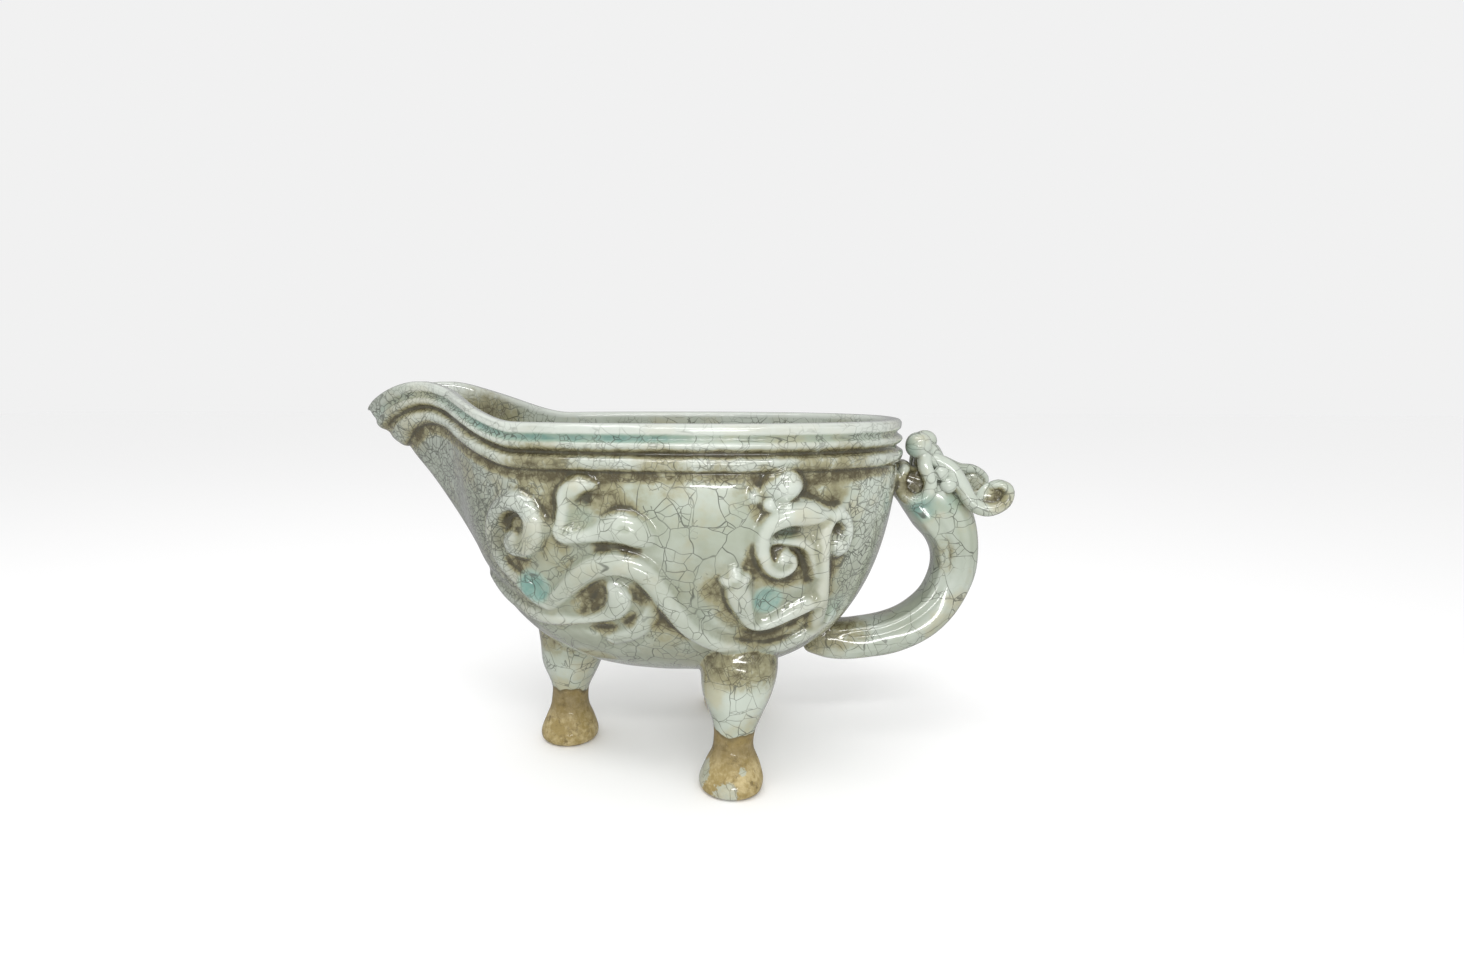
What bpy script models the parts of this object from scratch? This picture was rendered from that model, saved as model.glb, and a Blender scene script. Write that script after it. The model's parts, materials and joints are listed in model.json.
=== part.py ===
"""A small glazed ceramic yi: a pear-shaped pouring bowl with a rising spout, three cup feet,
a loop handle that ends in a dragon's head biting the rim, and a dragon in relief on each side.

The bowl, feet, handle and relief are one fired piece, so they are one closed solid.
The spout points to -X and the handle to +X, and the feet stand on Z = 0.
"""

import bpy
import bmesh
import numpy as np
from mathutils import Vector

MM = 0.001

# Bowl: half lengths and half width of the plan at the rim, and the heights
BOWL_X = 1.6 * MM
BACK = 64.0 * MM
FRONT = 73.0 * MM
HALF_WIDTH = 45.0 * MM
RIM_HEIGHT = 111.0 * MM
BELLY_HEIGHT = 32.4 * MM
PLAN_POWER = 2.3
BELLY_POWER = 2.5
BELLY_ROUND = 0.33

# Wall and floor thickness, and the lip's rounding
WALL = 4.4 * MM
FLOOR = 5.2 * MM
LIP_ROUND = 0.9 * MM

# Spout: how far it runs out past the bowl, its angular width, the fullness under its tip, and
# its rise above the rim
SPOUT = 28.7 * MM
SPOUT_SPREAD = 0.2285
SPOUT_CHANNEL = 0.185
SPOUT_BLUNT = 2.5
SPOUT_FOOT = 0.3
SPOUT_CURVE = 2.25
NOSE = 3.2 * MM
NOSE_AT = 0.925
NOSE_SPREAD = 0.05
SPOUT_RISE = 10.5 * MM
RISE_START = 43.0 * MM
RISE_PEAK = 78.0 * MM
TIP_DROP = 0.75

# Rim mouldings from the lip down: depth below the lip, and how far each stands out of the wall
MOULDINGS = (
    (1.0 * MM, 0.0 * MM),
    (2.5 * MM, 0.0 * MM),
    (3.4 * MM, -1.0 * MM),
    (4.4 * MM, -0.9 * MM),
    (5.1 * MM, 0.4 * MM),
    (6.3 * MM, 0.4 * MM),
    (7.1 * MM, -0.9 * MM),
    (8.0 * MM, -0.7 * MM),
    (9.0 * MM, 1.0 * MM),
    (11.0 * MM, 0.9 * MM),
    (12.4 * MM, -0.6 * MM),
)

# Feet: the middle of the sole, the middle of the thigh, and the leg's radius at each height
FRONT_FOOT = ((-40.5 * MM, 2.0 * MM), (-37.5 * MM, 1.0 * MM))
NEAR_FOOT = ((17.0 * MM, -29.5 * MM), (18.6 * MM, -24.5 * MM))
FAR_FOOT = ((15.5 * MM, 34.0 * MM), (18.5 * MM, 25.0 * MM))
THIGH_HEIGHT = 36.0 * MM
LEG_PROFILE = (
    (0.0 * MM, 8.4 * MM),
    (1.3 * MM, 9.6 * MM),
    (4.0 * MM, 9.9 * MM),
    (8.0 * MM, 8.6 * MM),
    (12.5 * MM, 6.6 * MM),
    (16.5 * MM, 6.3 * MM),
    (22.0 * MM, 7.9 * MM),
    (29.0 * MM, 11.0 * MM),
    (36.0 * MM, 12.5 * MM),
    (43.0 * MM, 11.4 * MM),
    (49.0 * MM, 8.0 * MM),
    (52.0 * MM, 3.5 * MM),
)

# Handle: points of the centre line (x, z), its thickness in the loop's plane and its width
HANDLE = (
    (39.5 * MM, 38.4 * MM, 5.0 * MM, 9.0 * MM),
    (46.5 * MM, 39.6 * MM, 12.0 * MM, 13.0 * MM),
    (56.0 * MM, 40.0 * MM, 13.8 * MM, 14.4 * MM),
    (66.0 * MM, 41.8 * MM, 14.2 * MM, 14.6 * MM),
    (75.0 * MM, 46.0 * MM, 14.2 * MM, 14.4 * MM),
    (82.0 * MM, 53.0 * MM, 14.0 * MM, 14.0 * MM),
    (85.6 * MM, 61.5 * MM, 14.2 * MM, 14.0 * MM),
    (86.0 * MM, 69.5 * MM, 14.6 * MM, 14.4 * MM),
    (84.0 * MM, 77.0 * MM, 16.4 * MM, 15.6 * MM),
    (79.6 * MM, 83.6 * MM, 18.0 * MM, 16.4 * MM),
    (74.0 * MM, 88.6 * MM, 15.6 * MM, 15.0 * MM),
    (68.6 * MM, 91.6 * MM, 11.6 * MM, 12.4 * MM),
    (64.4 * MM, 92.6 * MM, 8.6 * MM, 10.4 * MM),
)
HANDLE_SQUARE = 2.8
HANDLE_STEP = 6.0 * MM
HANDLE_UNDER_BOWL = 56.0 * MM

# Relief on the side wall, as bands with rows of (x, z, width, height above the wall)
BODY_BAND = (
    (-37.4 * MM, 58.6 * MM, 5.0 * MM, 1.6 * MM),
    (-30.1 * MM, 65.6 * MM, 7.0 * MM, 2.4 * MM),
    (-23.4 * MM, 71.6 * MM, 8.4 * MM, 2.9 * MM),
    (-15.0 * MM, 74.6 * MM, 8.6 * MM, 3.0 * MM),
    (-7.8 * MM, 71.6 * MM, 8.2 * MM, 2.9 * MM),
    (-2.4 * MM, 64.0 * MM, 7.4 * MM, 2.8 * MM),
    (4.5 * MM, 54.6 * MM, 6.4 * MM, 2.6 * MM),
    (14.0 * MM, 47.6 * MM, 5.6 * MM, 2.4 * MM),
    (25.4 * MM, 45.3 * MM, 5.4 * MM, 2.2 * MM),
    (35.6 * MM, 48.6 * MM, 5.4 * MM, 2.2 * MM),
    (42.6 * MM, 54.6 * MM, 4.6 * MM, 1.8 * MM),
)
TAIL_BAND = (
    (-35.6 * MM, 58.4 * MM, 4.4 * MM, 1.4 * MM),
    (-44.4 * MM, 64.2 * MM, 4.8 * MM, 2.0 * MM),
    (-50.2 * MM, 71.4 * MM, 5.0 * MM, 2.4 * MM),
    (-51.8 * MM, 79.6 * MM, 5.6 * MM, 2.6 * MM),
    (-49.2 * MM, 87.0 * MM, 6.2 * MM, 2.8 * MM),
    (-43.4 * MM, 89.4 * MM, 6.4 * MM, 2.8 * MM),
    (-38.8 * MM, 86.0 * MM, 6.2 * MM, 2.8 * MM),
    (-37.6 * MM, 80.4 * MM, 5.8 * MM, 2.6 * MM),
    (-40.0 * MM, 75.6 * MM, 5.0 * MM, 2.4 * MM),
    (-44.2 * MM, 74.6 * MM, 4.2 * MM, 2.2 * MM),
)
TAIL_FIN = (
    (-57.0 * MM, 63.0 * MM, 3.2 * MM, 1.2 * MM),
    (-51.0 * MM, 58.4 * MM, 4.4 * MM, 1.8 * MM),
    (-43.0 * MM, 55.8 * MM, 5.0 * MM, 2.0 * MM),
    (-35.6 * MM, 55.2 * MM, 5.4 * MM, 2.0 * MM),
    (-28.4 * MM, 55.4 * MM, 4.6 * MM, 1.6 * MM),
    (-21.6 * MM, 57.4 * MM, 5.6 * MM, 1.8 * MM),
    (-16.0 * MM, 61.4 * MM, 7.6 * MM, 2.2 * MM),
    (-15.0 * MM, 67.0 * MM, 6.0 * MM, 2.0 * MM),
)
HIND_SHIN = (
    (-21.4 * MM, 95.4 * MM, 3.0 * MM, 2.2 * MM),
    (-25.4 * MM, 94.8 * MM, 4.6 * MM, 2.8 * MM),
    (-28.4 * MM, 91.8 * MM, 4.6 * MM, 2.8 * MM),
    (-29.2 * MM, 86.6 * MM, 3.8 * MM, 2.4 * MM),
    (-29.8 * MM, 81.4 * MM, 4.6 * MM, 2.4 * MM),
)
HIND_THIGH = (
    (-30.4 * MM, 81.0 * MM, 4.4 * MM, 2.2 * MM),
    (-25.4 * MM, 81.4 * MM, 4.8 * MM, 2.4 * MM),
    (-19.4 * MM, 82.6 * MM, 7.0 * MM, 3.0 * MM),
    (-13.4 * MM, 83.0 * MM, 10.0 * MM, 3.8 * MM),
    (-9.6 * MM, 81.4 * MM, 9.0 * MM, 3.2 * MM),
)
SNOUT_BAND = (
    (25.4 * MM, 83.6 * MM, 4.4 * MM, 2.2 * MM),
    (29.0 * MM, 88.0 * MM, 7.0 * MM, 3.2 * MM),
    (34.0 * MM, 89.6 * MM, 9.0 * MM, 3.8 * MM),
    (39.0 * MM, 88.4 * MM, 7.2 * MM, 3.2 * MM),
    (43.0 * MM, 85.6 * MM, 4.4 * MM, 2.2 * MM),
)
BEARD_BAND = (
    (25.6 * MM, 84.6 * MM, 3.8 * MM, 2.2 * MM),
    (24.0 * MM, 79.6 * MM, 3.8 * MM, 2.4 * MM),
    (24.8 * MM, 74.6 * MM, 4.0 * MM, 2.4 * MM),
    (28.4 * MM, 71.0 * MM, 3.8 * MM, 2.4 * MM),
    (32.2 * MM, 72.6 * MM, 3.4 * MM, 2.2 * MM),
    (32.0 * MM, 76.2 * MM, 2.8 * MM, 2.0 * MM),
    (28.8 * MM, 76.8 * MM, 2.4 * MM, 1.8 * MM),
)
NECK_BAND = (
    (42.6 * MM, 54.0 * MM, 5.0 * MM, 2.0 * MM),
    (40.8 * MM, 63.0 * MM, 5.2 * MM, 2.4 * MM),
    (39.8 * MM, 72.0 * MM, 4.8 * MM, 2.4 * MM),
    (40.0 * MM, 80.6 * MM, 4.2 * MM, 2.4 * MM),
    (42.6 * MM, 85.8 * MM, 3.8 * MM, 2.4 * MM),
    (46.4 * MM, 85.4 * MM, 3.8 * MM, 2.4 * MM),
    (47.8 * MM, 80.8 * MM, 3.2 * MM, 2.0 * MM),
)
FORELEG_PAW = (
    (17.6 * MM, 70.2 * MM, 8.6 * MM, 2.8 * MM),
    (18.4 * MM, 65.6 * MM, 9.4 * MM, 3.2 * MM),
    (20.2 * MM, 59.8 * MM, 6.6 * MM, 2.8 * MM),
    (22.4 * MM, 54.6 * MM, 4.2 * MM, 2.2 * MM),
)
FORELEG_ARM = (
    (21.6 * MM, 54.4 * MM, 4.0 * MM, 2.0 * MM),
    (27.0 * MM, 56.0 * MM, 4.6 * MM, 2.4 * MM),
    (32.4 * MM, 59.2 * MM, 5.6 * MM, 2.8 * MM),
    (38.6 * MM, 62.0 * MM, 6.0 * MM, 2.4 * MM),
)
BANDS = (
    ("body", BODY_BAND, 5.2 * MM),
    ("tail", TAIL_BAND, 3.5 * MM),
    ("tail_fin", TAIL_FIN, 5.4 * MM),
    ("hind_shin", HIND_SHIN, 3.6 * MM),
    ("hind_thigh", HIND_THIGH, 4.6 * MM),
    ("snout", SNOUT_BAND, 4.6 * MM),
    ("beard", BEARD_BAND, 2.7 * MM),
    ("neck", NECK_BAND, 4.2 * MM),
    ("foreleg_paw", FORELEG_PAW, 5.0 * MM),
    ("foreleg_arm", FORELEG_ARM, 5.2 * MM),
)

# Round bosses of the relief: (x, z, radius, height above the wall)
BOSSES = (
    ("brow", 28.8 * MM, 96.2 * MM, 5.2 * MM, 3.4 * MM),
    ("eye", 26.4 * MM, 89.8 * MM, 2.6 * MM, 2.6 * MM),
    ("tail_end", -44.8 * MM, 77.6 * MM, 4.0 * MM, 2.8 * MM),
    ("neck_end", 45.2 * MM, 78.6 * MM, 2.8 * MM, 2.2 * MM),
    ("toe_left", 14.6 * MM, 68.8 * MM, 2.4 * MM, 2.4 * MM),
    ("toe_middle", 17.6 * MM, 71.8 * MM, 2.4 * MM, 2.6 * MM),
    ("toe_right", 21.0 * MM, 69.8 * MM, 2.4 * MM, 2.4 * MM),
)

# Dragon's head on the handle: (x, y, z) and (half length, half width, half height) of each boss
HEAD_BOSSES = (
    ("nose_near", (71.6 * MM, -3.6 * MM, 103.2 * MM), (3.6 * MM, 3.4 * MM, 3.4 * MM)),
    ("nose_far", (73.8 * MM, 3.4 * MM, 103.2 * MM), (3.4 * MM, 3.2 * MM, 3.2 * MM)),
    ("nose_bridge", (75.4 * MM, 0.0 * MM, 97.4 * MM), (4.4 * MM, 4.8 * MM, 6.0 * MM)),
    ("lip", (67.8 * MM, 0.0 * MM, 94.2 * MM), (3.2 * MM, 7.4 * MM, 3.6 * MM)),
    ("ear_near", (79.4 * MM, -7.0 * MM, 93.6 * MM), (2.6 * MM, 2.2 * MM, 2.6 * MM)),
    ("ear_far", (79.4 * MM, 7.0 * MM, 93.6 * MM), (2.6 * MM, 2.2 * MM, 2.6 * MM)),
)

# Cords of clay on the head, with rows of (x, y, z, width, thickness)
JAW = (
    (73.2 * MM, 3.6 * MM, 102.0 * MM, 3.6 * MM, 3.4 * MM),
    (73.2 * MM, 5.4 * MM, 97.4 * MM, 3.8 * MM, 3.6 * MM),
    (75.0 * MM, 7.0 * MM, 92.6 * MM, 4.0 * MM, 3.8 * MM),
    (74.4 * MM, 7.4 * MM, 88.2 * MM, 4.2 * MM, 4.0 * MM),
    (70.6 * MM, 6.6 * MM, 86.8 * MM, 4.0 * MM, 3.8 * MM),
    (66.2 * MM, 5.2 * MM, 87.6 * MM, 3.6 * MM, 3.4 * MM),
)
NEAR_HORN = (
    (76.0 * MM, -3.6 * MM, 98.6 * MM, 3.8 * MM, 3.6 * MM),
    (80.4 * MM, -5.6 * MM, 95.8 * MM, 4.2 * MM, 3.8 * MM),
    (84.2 * MM, -7.2 * MM, 91.0 * MM, 4.8 * MM, 3.6 * MM),
    (87.8 * MM, -8.2 * MM, 86.0 * MM, 5.4 * MM, 3.4 * MM),
    (92.6 * MM, -8.8 * MM, 84.2 * MM, 7.0 * MM, 3.0 * MM),
    (97.0 * MM, -8.8 * MM, 86.2 * MM, 8.0 * MM, 2.8 * MM),
    (98.6 * MM, -8.6 * MM, 90.2 * MM, 6.0 * MM, 2.6 * MM),
)
FAR_HORN = (
    (77.0 * MM, 3.4 * MM, 98.2 * MM, 3.4 * MM, 3.2 * MM),
    (82.6 * MM, 5.6 * MM, 95.6 * MM, 3.8 * MM, 3.4 * MM),
    (88.0 * MM, 7.2 * MM, 94.2 * MM, 3.8 * MM, 3.2 * MM),
    (92.8 * MM, 7.6 * MM, 94.2 * MM, 3.8 * MM, 3.0 * MM),
    (95.6 * MM, 7.6 * MM, 91.0 * MM, 3.8 * MM, 2.8 * MM),
    (93.6 * MM, 7.6 * MM, 87.6 * MM, 3.8 * MM, 2.6 * MM),
    (89.8 * MM, 7.2 * MM, 87.4 * MM, 3.4 * MM, 2.6 * MM),
)

# Bosses wider than this get more facets, and the cords of the head are cut at this step
FINE_BOSS = 3.1 * MM
JAW_STEP = 3.2 * MM
HORN_STEP = 3.0 * MM

# How deep every added form is rooted in the wall
ROOT = 1.6 * MM

# Glaze: pale grey-green, glossy
GLAZE_COLOUR = (0.62, 0.65, 0.59, 1.0)
GLAZE_ROUGHNESS = 0.12
SHARP_ANGLE = 0.9

# Points closer than this are made one
WELD = 0.02 * MM

# Steps of the faceted surfaces
COLUMNS = 64
WALL_ROWS = 10
INNER_ROWS = 6
LEG_SIDES = 12
TUBE_SIDES = 10
RIM_TURN = 40.0 * MM


def clear_scene():
    """Start from nothing, so the script gives the same object each time."""
    for old in list(bpy.data.objects):
        bpy.data.objects.remove(old, do_unlink=True)


def share(r):
    """Share of the full plan reached at height share r: a steep round belly, upright at the rim."""
    return (1.0 - (1.0 - r) ** BELLY_POWER) ** BELLY_ROUND


def rounded(v):
    """Cosine or sine bent so that the plan is a superellipse."""
    return np.sign(v) * np.abs(v) ** (2.0 / PLAN_POWER)


def plan(t, r, depth=0.0, spread=SPOUT_SPREAD):
    """Plan point at angle t and height share r, moved in by depth, with the spout drawn out to -X."""
    c, s = np.cos(t), np.sin(t)
    off_spout = np.abs(np.mod(t, 2.0 * np.pi) - np.pi)
    reach = np.clip((r - SPOUT_FOOT) / (1.0 - SPOUT_FOOT), 0.0, 1.0) ** SPOUT_CURVE
    nose = NOSE * np.exp(-((r - NOSE_AT) / NOSE_SPREAD) ** 2) if depth == 0.0 else 0.0
    spout = (SPOUT * reach + nose) * np.exp(-(off_spout / spread) ** SPOUT_BLUNT)
    half_length = np.where(c > 0.0, BACK, FRONT) - depth
    x = BOWL_X + half_length * share(r) * rounded(c) - spout
    y = (HALF_WIDTH - depth) * share(r) * rounded(s)
    return x, y


def rim_height(x):
    """Height of the lip above the ground at x: level, then rising to a peak and falling at the tip."""
    rise = np.clip((-x - RISE_START) / (RISE_PEAK - RISE_START), 0.0, 1.0)
    rise = rise * rise * (3.0 - 2.0 * rise)
    tip = FRONT + SPOUT - BOWL_X
    past = np.clip((-x - RISE_PEAK) / (tip - RISE_PEAK), 0.0, 1.0)
    return RIM_HEIGHT + SPOUT_RISE * rise * (1.0 - TIP_DROP * past * past)


def wall_point(t, r, depth=0.0, spread=SPOUT_SPREAD, floor=BELLY_HEIGHT):
    """Point of the wall at angle t and height share r, from the belly's lowest point to the lip."""
    x, y = plan(t, r, depth, spread)
    top, _ = plan(t, np.ones_like(r), depth, spread)
    z = floor + (rim_height(top) - floor) * r
    return np.stack([x, y, z], axis=-1)


def wall_normal(t, r):
    """Unit normal of the outer wall, from the cross product of its two directions."""
    step = 1e-4
    low, high = np.maximum(r - step, 0.0), np.minimum(r + step, 1.0)
    along = wall_point(t + step, r) - wall_point(t - step, r)
    up = wall_point(t, high) - wall_point(t, low)
    n = np.cross(along, up)
    return n / np.linalg.norm(n, axis=-1, keepdims=True)


def depth_height(x, y, depth):
    """Height of the belly surface over (x, y), for the surface that lies depth inside the wall."""
    half_length = np.where(x > BOWL_X, BACK, FRONT) - depth
    across = (np.abs(x - BOWL_X) / half_length) ** PLAN_POWER
    across = across + (np.abs(y) / (HALF_WIDTH - depth)) ** PLAN_POWER
    s = np.clip(across, 0.0, 0.999) ** (1.0 / PLAN_POWER)
    r = 1.0 - (1.0 - s ** (1.0 / BELLY_ROUND)) ** (1.0 / BELLY_POWER)
    floor = BELLY_HEIGHT + depth * FLOOR / WALL
    return floor + (RIM_HEIGHT - floor) * r


def rim_columns():
    """Angles of the columns, evenly spread along the rim and closer where it turns at the spout."""
    t = np.linspace(-np.pi, np.pi, 2881)
    x, y = plan(t, np.ones_like(t))
    dx, dy = np.diff(x), np.diff(y)
    heading = np.unwrap(np.arctan2(dy, dx))
    turn = np.abs(np.diff(heading, append=heading[0] + 2.0 * np.pi))
    weight = np.hypot(dx, dy) + RIM_TURN * turn
    length = np.concatenate([[0.0], np.cumsum(weight)])
    return np.interp(np.arange(COLUMNS) * length[-1] / COLUMNS, length, t)


def even_rows(count, top, depth, floor):
    """Height shares from just above the lowest point up to top, at equal steps of profile length."""
    r = np.linspace(0.0, top, 4001)
    side = np.full_like(r, 1.5 * np.pi)
    p = wall_point(side, r, depth=depth, floor=floor)
    length = np.concatenate([[0.0], np.cumsum(np.linalg.norm(np.diff(p, axis=0), axis=1))])
    return np.interp(np.arange(1, count + 1) * length[-1] / count, length, r)


def new_object(name, verts, faces):
    """Mesh object from plain vertex and face lists, with its faces turned outwards."""
    mesh = bpy.data.meshes.new(name)
    mesh.from_pydata([tuple(v) for v in verts], [], faces)
    work = bmesh.new()
    work.from_mesh(mesh)
    bmesh.ops.recalc_face_normals(work, faces=work.faces)
    work.to_mesh(mesh)
    work.free()
    obj = bpy.data.objects.new(name, mesh)
    bpy.context.scene.collection.objects.link(obj)
    return obj


def loft(name, rings, start, end):
    """Closed body through rings of equal count, ended by a single point at each side."""
    count = len(rings[0])
    verts = [start] + [v for ring in rings for v in ring] + [end]
    faces = [(0, 1 + (k + 1) % count, 1 + k) for k in range(count)]
    for row in range(len(rings) - 1):
        a, b = 1 + row * count, 1 + (row + 1) * count
        for k in range(count):
            n = (k + 1) % count
            faces.append((a + k, a + n, b + n, b + k))
    last, tip = 1 + (len(rings) - 1) * count, len(verts) - 1
    faces += [(tip, last + k, last + (k + 1) % count) for k in range(count)]
    return new_object(name, verts, faces)


def build_bowl():
    """Hollow bowl: outer wall, rim mouldings, rounded lip and inner wall in one closed loft."""
    t = rim_columns()
    full = np.ones(COLUMNS)
    rings = []
    lowest = MOULDINGS[-1][0]
    lip_top = wall_point(t, full)[:, 2]
    top_share = 1.0 - lowest / (lip_top - BELLY_HEIGHT)
    for r in even_rows(WALL_ROWS, 1.0, 0.0, BELLY_HEIGHT)[:-1]:
        rings.append(wall_point(t, r * top_share))
    for drop, proud in reversed(MOULDINGS):
        r = 1.0 - drop / (lip_top - BELLY_HEIGHT)
        rings.append(wall_point(t, r) + proud * wall_normal(t, r))
    rings.append(lip_ring(t, LIP_ROUND * 0.9, 0.0))
    rings.append(lip_ring(t, WALL - LIP_ROUND, 0.0))
    inner_floor = BELLY_HEIGHT + FLOOR
    inner = lip_ring(t, WALL, LIP_ROUND)
    rings.append(inner)
    for r in even_rows(INNER_ROWS, 0.99, WALL, inner_floor)[-2::-1]:
        rings.append(wall_point(t, full * r, WALL, SPOUT_CHANNEL, inner_floor))
    bottom = (BOWL_X, 0.0, BELLY_HEIGHT)
    inside = (BOWL_X, 0.0, inner_floor)
    return loft("yi_vessel", rings, bottom, inside)


def lip_ring(t, inward, drop):
    """Ring on the lip, between the outer edge (inward 0) and the channel's edge (inward WALL)."""
    full = np.ones(len(t))
    part = inward / WALL
    ox, oy = plan(t, full)
    ix, iy = plan(t, full, WALL, SPOUT_CHANNEL)
    x = ox + (ix - ox) * part
    y = oy + (iy - oy) * part
    return np.stack([x, y, rim_height(x) - drop], axis=-1)


def build_leg(name, foot):
    """Turned leg: flat sole, cup foot, thin ankle and full thigh, sunk to the middle of the wall."""
    (sole_x, sole_y), (thigh_x, thigh_y) = foot
    turn = np.arange(LEG_SIDES) * 2.0 * np.pi / LEG_SIDES
    rings = []
    for height, radius in LEG_PROFILE:
        lean = (height / THIGH_HEIGHT) ** 1.5 if height < THIGH_HEIGHT else 1.0
        x = sole_x + (thigh_x - sole_x) * lean + radius * np.cos(turn)
        y = sole_y + (thigh_y - sole_y) * lean + radius * np.sin(turn)
        z = np.minimum(height, depth_height(x, y, 0.5 * WALL))
        rings.append(np.stack([x, y, z], axis=-1))
    top = depth_height(np.array([thigh_x]), np.array([thigh_y]), 0.5 * WALL)[0]
    return loft(name, rings, (sole_x, sole_y, 0.0), (thigh_x, thigh_y, top))


def smooth_path(points):
    """Fine points along a smooth curve through the given rows; extra columns ride along."""
    p = np.asarray(points, float)
    before = 2.0 * p[0] - p[1]
    after = 2.0 * p[-1] - p[-2]
    p = np.vstack([before, p, after])
    fine = []
    u = np.linspace(0.0, 1.0, 24, endpoint=False)[:, None]
    for k in range(1, len(p) - 2):
        a, b, c, d = p[k - 1], p[k], p[k + 1], p[k + 2]
        fine.append(0.5 * (2.0 * b + (c - a) * u + (2.0 * a - 5.0 * b + 4.0 * c - d) * u ** 2
                           + (3.0 * b - a - 3.0 * c + d) * u ** 3))
    return np.vstack(fine + [p[-2:-1]])


def even_path(points, spacing, axes):
    """Resample a smooth curve at equal length steps measured over its first columns."""
    fine = smooth_path(points)
    steps = np.linalg.norm(np.diff(fine[:, :axes], axis=0), axis=1)
    length = np.concatenate([[0.0], np.cumsum(steps)])
    count = max(3, int(round(length[-1] / spacing)) + 1)
    at = np.linspace(0.0, length[-1], count)
    return np.stack([np.interp(at, length, fine[:, k]) for k in range(fine.shape[1])], axis=-1)


def rounded_section(sides, power):
    """Unit section of a rounded rectangle: the two half axes are one."""
    a = (np.arange(sides) + 0.5) * 2.0 * np.pi / sides
    c, s = np.cos(a), np.sin(a)
    return np.sign(c) * np.abs(c) ** (2.0 / power), np.sign(s) * np.abs(s) ** (2.0 / power)


def build_handle():
    """Loop handle and dragon's neck and muzzle: a rounded square section swept round the loop."""
    path = even_path(HANDLE, HANDLE_STEP, 2)
    tangent = np.gradient(path[:, :2], axis=0)
    tangent = tangent / np.linalg.norm(tangent, axis=1, keepdims=True)
    u, v = rounded_section(TUBE_SIDES, HANDLE_SQUARE)
    rings = []
    for (x, z, thick, width), (tx, tz) in zip(path, tangent):
        px = x - tz * u * thick * 0.5
        pz = z + tx * u * thick * 0.5
        py = v * width * 0.5
        sunk = np.minimum(pz, depth_height(px, py, 0.5 * WALL))
        pz = np.where(px < HANDLE_UNDER_BOWL, sunk, pz)
        rings.append(np.stack([px, py, pz], axis=-1))
    start, end = rings[0].mean(axis=0), rings[-1].mean(axis=0)
    return loft("handle", rings, start, end)


def side_angle(x, z):
    """Angle and height share of the near wall's point at (x, z), by walking to the lip's height."""
    t = np.linspace(np.pi, 2.0 * np.pi, 1441)
    top = RIM_HEIGHT
    for _ in range(4):
        r = min(max((z - BELLY_HEIGHT) / (top - BELLY_HEIGHT), 0.001), 1.0)
        at_x, _ = plan(t, np.full_like(t, r))
        angle = np.interp(x, at_x, t)
        lip_x, _ = plan(np.array([angle]), np.ones(1))
        top = rim_height(lip_x)[0]
    return angle, r


def side_frame(x, z):
    """Point and outward normal of the near wall at (x, z)."""
    angle, r = side_angle(x, z)
    at = np.array([angle])
    share_here = np.array([r])
    return wall_point(at, share_here)[0], wall_normal(at, share_here)[0]


def build_band(name, rows, spacing, side):
    """Relief band: a low domed section carried along the wall, rooted in it, on one side."""
    path = even_path(rows, spacing, 2)
    frames = [side_frame(x, z) for x, z in path[:, :2]]
    point = np.array([f[0] for f in frames])
    normal = np.array([f[1] for f in frames])
    tangent = np.gradient(point, axis=0)
    tangent = tangent / np.linalg.norm(tangent, axis=1, keepdims=True)
    across = np.cross(normal, tangent)
    rings = []
    for p, n, b, (_, _, width, height) in zip(point, normal, across, path):
        section = ((-0.5, -ROOT), (-0.38, 0.6 * height), (0.0, height), (0.38, 0.6 * height), (0.5, -ROOT))
        rings.append(np.array([p + b * width * u + n * v for u, v in section]))
    start = point[0] - tangent[0] * path[0, 2] * 0.35 - normal[0] * ROOT * 0.3
    end = point[-1] + tangent[-1] * path[-1, 2] * 0.35 - normal[-1] * ROOT * 0.3
    flip = np.array([1.0, side, 1.0])
    return loft(name, [ring * flip for ring in rings], start * flip, end * flip)


def build_boss(name, centre, radii, normal, detail):
    """Rounded boss: a sphere squeezed along the given normal and set at its centre."""
    work = bmesh.new()
    bmesh.ops.create_icosphere(work, subdivisions=detail, radius=1.0)
    turn = Vector((0.0, 0.0, 1.0)).rotation_difference(Vector(normal)).to_matrix()
    for v in work.verts:
        scaled = Vector((v.co.x * radii[0], v.co.y * radii[1], v.co.z * radii[2]))
        v.co = turn @ scaled + Vector(centre)
    verts = [tuple(v.co) for v in work.verts]
    faces = [[v.index for v in f.verts] for f in work.faces]
    work.free()
    return new_object(name, verts, faces)


def build_side_bosses(side):
    """Bosses of the relief on one side: each stands its own height out of the wall."""
    made = []
    for name, x, z, radius, height in BOSSES:
        point, normal = side_frame(x, z)
        flip = np.array([1.0, side, 1.0])
        detail = 2 if radius > FINE_BOSS else 1
        made.append(build_boss(name, point * flip, (radius, radius, height), normal * flip, detail))
    return made


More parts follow.
